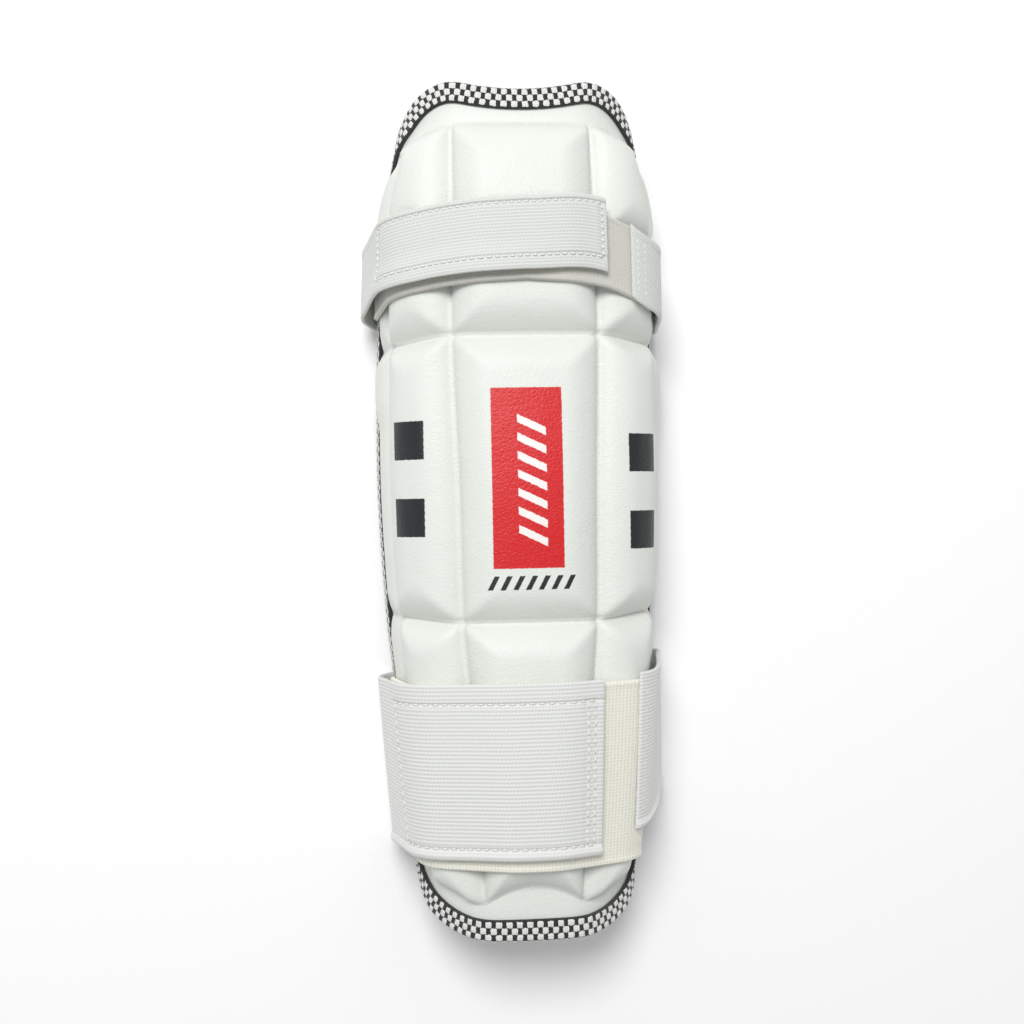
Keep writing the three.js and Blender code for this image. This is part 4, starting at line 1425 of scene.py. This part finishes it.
class FaceSettings(bpy.types.PropertyGroup):
    """Sizes and finish of the moulded face."""

    pad_rise: FloatProperty(
        name="Pad rise", description="Height of the pads over their grooves", default=0.007,
        min=0.0, unit="LENGTH",
    )
    pad_crown: FloatProperty(
        name="Pad crown", description="How far the pads' middles rise over their shoulders",
        default=0.0008, min=0.0, unit="LENGTH",
    )
    pad_shoulder: FloatProperty(
        name="Pad shoulder", description="Width of the rounded edge of a pad", default=0.012,
        min=0.001, unit="LENGTH",
    )
    cloth_colour: FloatVectorProperty(
        name="Cloth colour", description="Colour of the coated cloth", subtype="COLOR",
        default=linear("#E3E6E0")[:3], min=0.0, max=1.0,
    )
    panel_colour: FloatVectorProperty(
        name="Panel colour", description="Ink of the middle panel", subtype="COLOR",
        default=linear("#CC0A10")[:3], min=0.0, max=1.0,
    )
    square_colour: FloatVectorProperty(
        name="Square colour", description="Ink of the four squares", subtype="COLOR",
        default=linear("#14171A")[:3], min=0.0, max=1.0,
    )


class BindingSettings(bpy.types.PropertyGroup):
    """Pattern of the edge binding."""

    check_pitch: FloatProperty(
        name="Check pitch", description="Length of a white and a black block together",
        default=0.0034, min=0.001, unit="LENGTH",
    )
    row_height: FloatProperty(
        name="Row height", description="Height of a row of blocks", default=0.00215, min=0.001,
        unit="LENGTH",
    )
    edge_line: FloatProperty(
        name="Edge line", description="Width of the plain black line at the tape's edges",
        default=0.0013, min=0.0, unit="LENGTH",
    )
    white_share: FloatProperty(
        name="White share", description="Share of the pitch that is white", default=0.58,
        min=0.1, max=0.9, subtype="FACTOR",
    )
    block_rise: FloatProperty(
        name="Block rise", description="How far a white block stands out", default=0.00035,
        min=0.0, unit="LENGTH",
    )
    light_colour: FloatVectorProperty(
        name="Block colour", description="Colour of the raised blocks", subtype="COLOR",
        default=linear("#FAFAF8")[:3], min=0.0, max=1.0,
    )
    dark_colour: FloatVectorProperty(
        name="Ground colour", description="Colour between the blocks", subtype="COLOR",
        default=linear("#16191B")[:3], min=0.0, max=1.0,
    )


class StrapSettings(bpy.types.PropertyGroup):
    """Weave of the elastic straps."""

    upper_rib_pitch: FloatProperty(
        name="Narrow strap rib pitch", description="Distance between ribs of the narrow strap",
        default=0.00107, min=0.0005, unit="LENGTH",
    )
    lower_rib_pitch: FloatProperty(
        name="Wide strap rib pitch", description="Distance between ribs of the wide strap",
        default=0.0013, min=0.0005, unit="LENGTH",
    )
    rib_depth: FloatProperty(
        name="Rib depth", description="Depth between two ribs", default=0.0001, min=0.0,
        unit="LENGTH",
    )
    narrow_colour: FloatVectorProperty(
        name="Narrow strap colour", description="Colour of the narrow elastic", subtype="COLOR",
        default=linear("#DBDDD9")[:3], min=0.0, max=1.0,
    )
    wide_colour: FloatVectorProperty(
        name="Wide strap colour", description="Colour of the wide elastic", subtype="COLOR",
        default=linear("#E4E5E2")[:3], min=0.0, max=1.0,
    )


class StageSettings(bpy.types.PropertyGroup):
    """Light of the stage."""

    key: FloatProperty(
        name="Key light", description="Power of the key light", default=13.7, min=0.0, unit="POWER"
    )
    fill: FloatProperty(
        name="Fill", description="Strength of the even light all round", default=0.47, min=0.0
    )


class ARMGUARD_OT_face(bpy.types.Operator):
    """Add the padded face with its printed marks and lining"""

    bl_idname = "armguard.face"
    bl_label = "Padded face"

    def execute(self, context):
        build_face(context.scene.armguard_face)
        return {"FINISHED"}


class ARMGUARD_OT_binding(bpy.types.Operator):
    """Add the checked binding round the edge"""

    bl_idname = "armguard.binding"
    bl_label = "Edge binding"

    def execute(self, context):
        build_binding(context.scene.armguard_binding)
        return {"FINISHED"}


class ARMGUARD_OT_tapes(bpy.types.Operator):
    """Add the loop tapes and the hook tapes"""

    bl_idname = "armguard.tapes"
    bl_label = "Loop and hook tapes"

    def execute(self, context):
        build_tapes(context.scene.armguard_face)
        return {"FINISHED"}


class ARMGUARD_OT_straps(bpy.types.Operator):
    """Add the two elastic straps"""

    bl_idname = "armguard.straps"
    bl_label = "Elastic straps"

    def execute(self, context):
        build_upper_strap(context.scene.armguard_face, context.scene.armguard_strap)
        build_lower_strap(context.scene.armguard_face, context.scene.armguard_strap)
        return {"FINISHED"}


class ARMGUARD_OT_stitching(bpy.types.Operator):
    """Add the sewing thread of the straps and tapes"""

    bl_idname = "armguard.stitching"
    bl_label = "Stitching"

    def execute(self, context):
        build_stitching(context.scene.armguard_face)
        return {"FINISHED"}


class ARMGUARD_OT_stage(bpy.types.Operator):
    """Add the floor, the light and the camera"""

    bl_idname = "armguard.stage"
    bl_label = "Stage"

    def execute(self, context):
        build_stage(context.scene.armguard_stage)
        return {"FINISHED"}


OPERATORS = (
    ARMGUARD_OT_face,
    ARMGUARD_OT_binding,
    ARMGUARD_OT_tapes,
    ARMGUARD_OT_straps,
    ARMGUARD_OT_stitching,
    ARMGUARD_OT_stage,
)


class ARMGUARD_PT_panel(bpy.types.Panel):
    """Lists the guard's settings and pieces"""

    bl_label = "Arm guard"
    bl_idname = "ARMGUARD_PT_panel"
    bl_space_type = "VIEW_3D"
    bl_region_type = "UI"
    bl_category = "Arm guard"

    def draw(self, context):
        for name in SETTINGS:
            settings = getattr(context.scene, name)
            box = self.layout.box()
            for value in settings.__annotations__:
                box.prop(settings, value)
        for operator in OPERATORS:
            self.layout.operator(operator.bl_idname)


SETTINGS = {
    "armguard_face": FaceSettings,
    "armguard_binding": BindingSettings,
    "armguard_strap": StrapSettings,
    "armguard_stage": StageSettings,
}


def register():
    for kind in (*SETTINGS.values(), *OPERATORS, ARMGUARD_PT_panel):
        bpy.utils.register_class(kind)
    for name, kind in SETTINGS.items():
        setattr(bpy.types.Scene, name, PointerProperty(type=kind))


def unregister():
    for name in SETTINGS:
        delattr(bpy.types.Scene, name)
    for kind in (ARMGUARD_PT_panel, *reversed(OPERATORS), *SETTINGS.values()):
        bpy.utils.unregister_class(kind)


def main():
    register()
    bpy.ops.armguard.face()
    bpy.ops.armguard.binding()
    bpy.ops.armguard.tapes()
    bpy.ops.armguard.straps()
    bpy.ops.armguard.stitching()
    bpy.ops.armguard.stage()


if __name__ == "__main__":
    main()
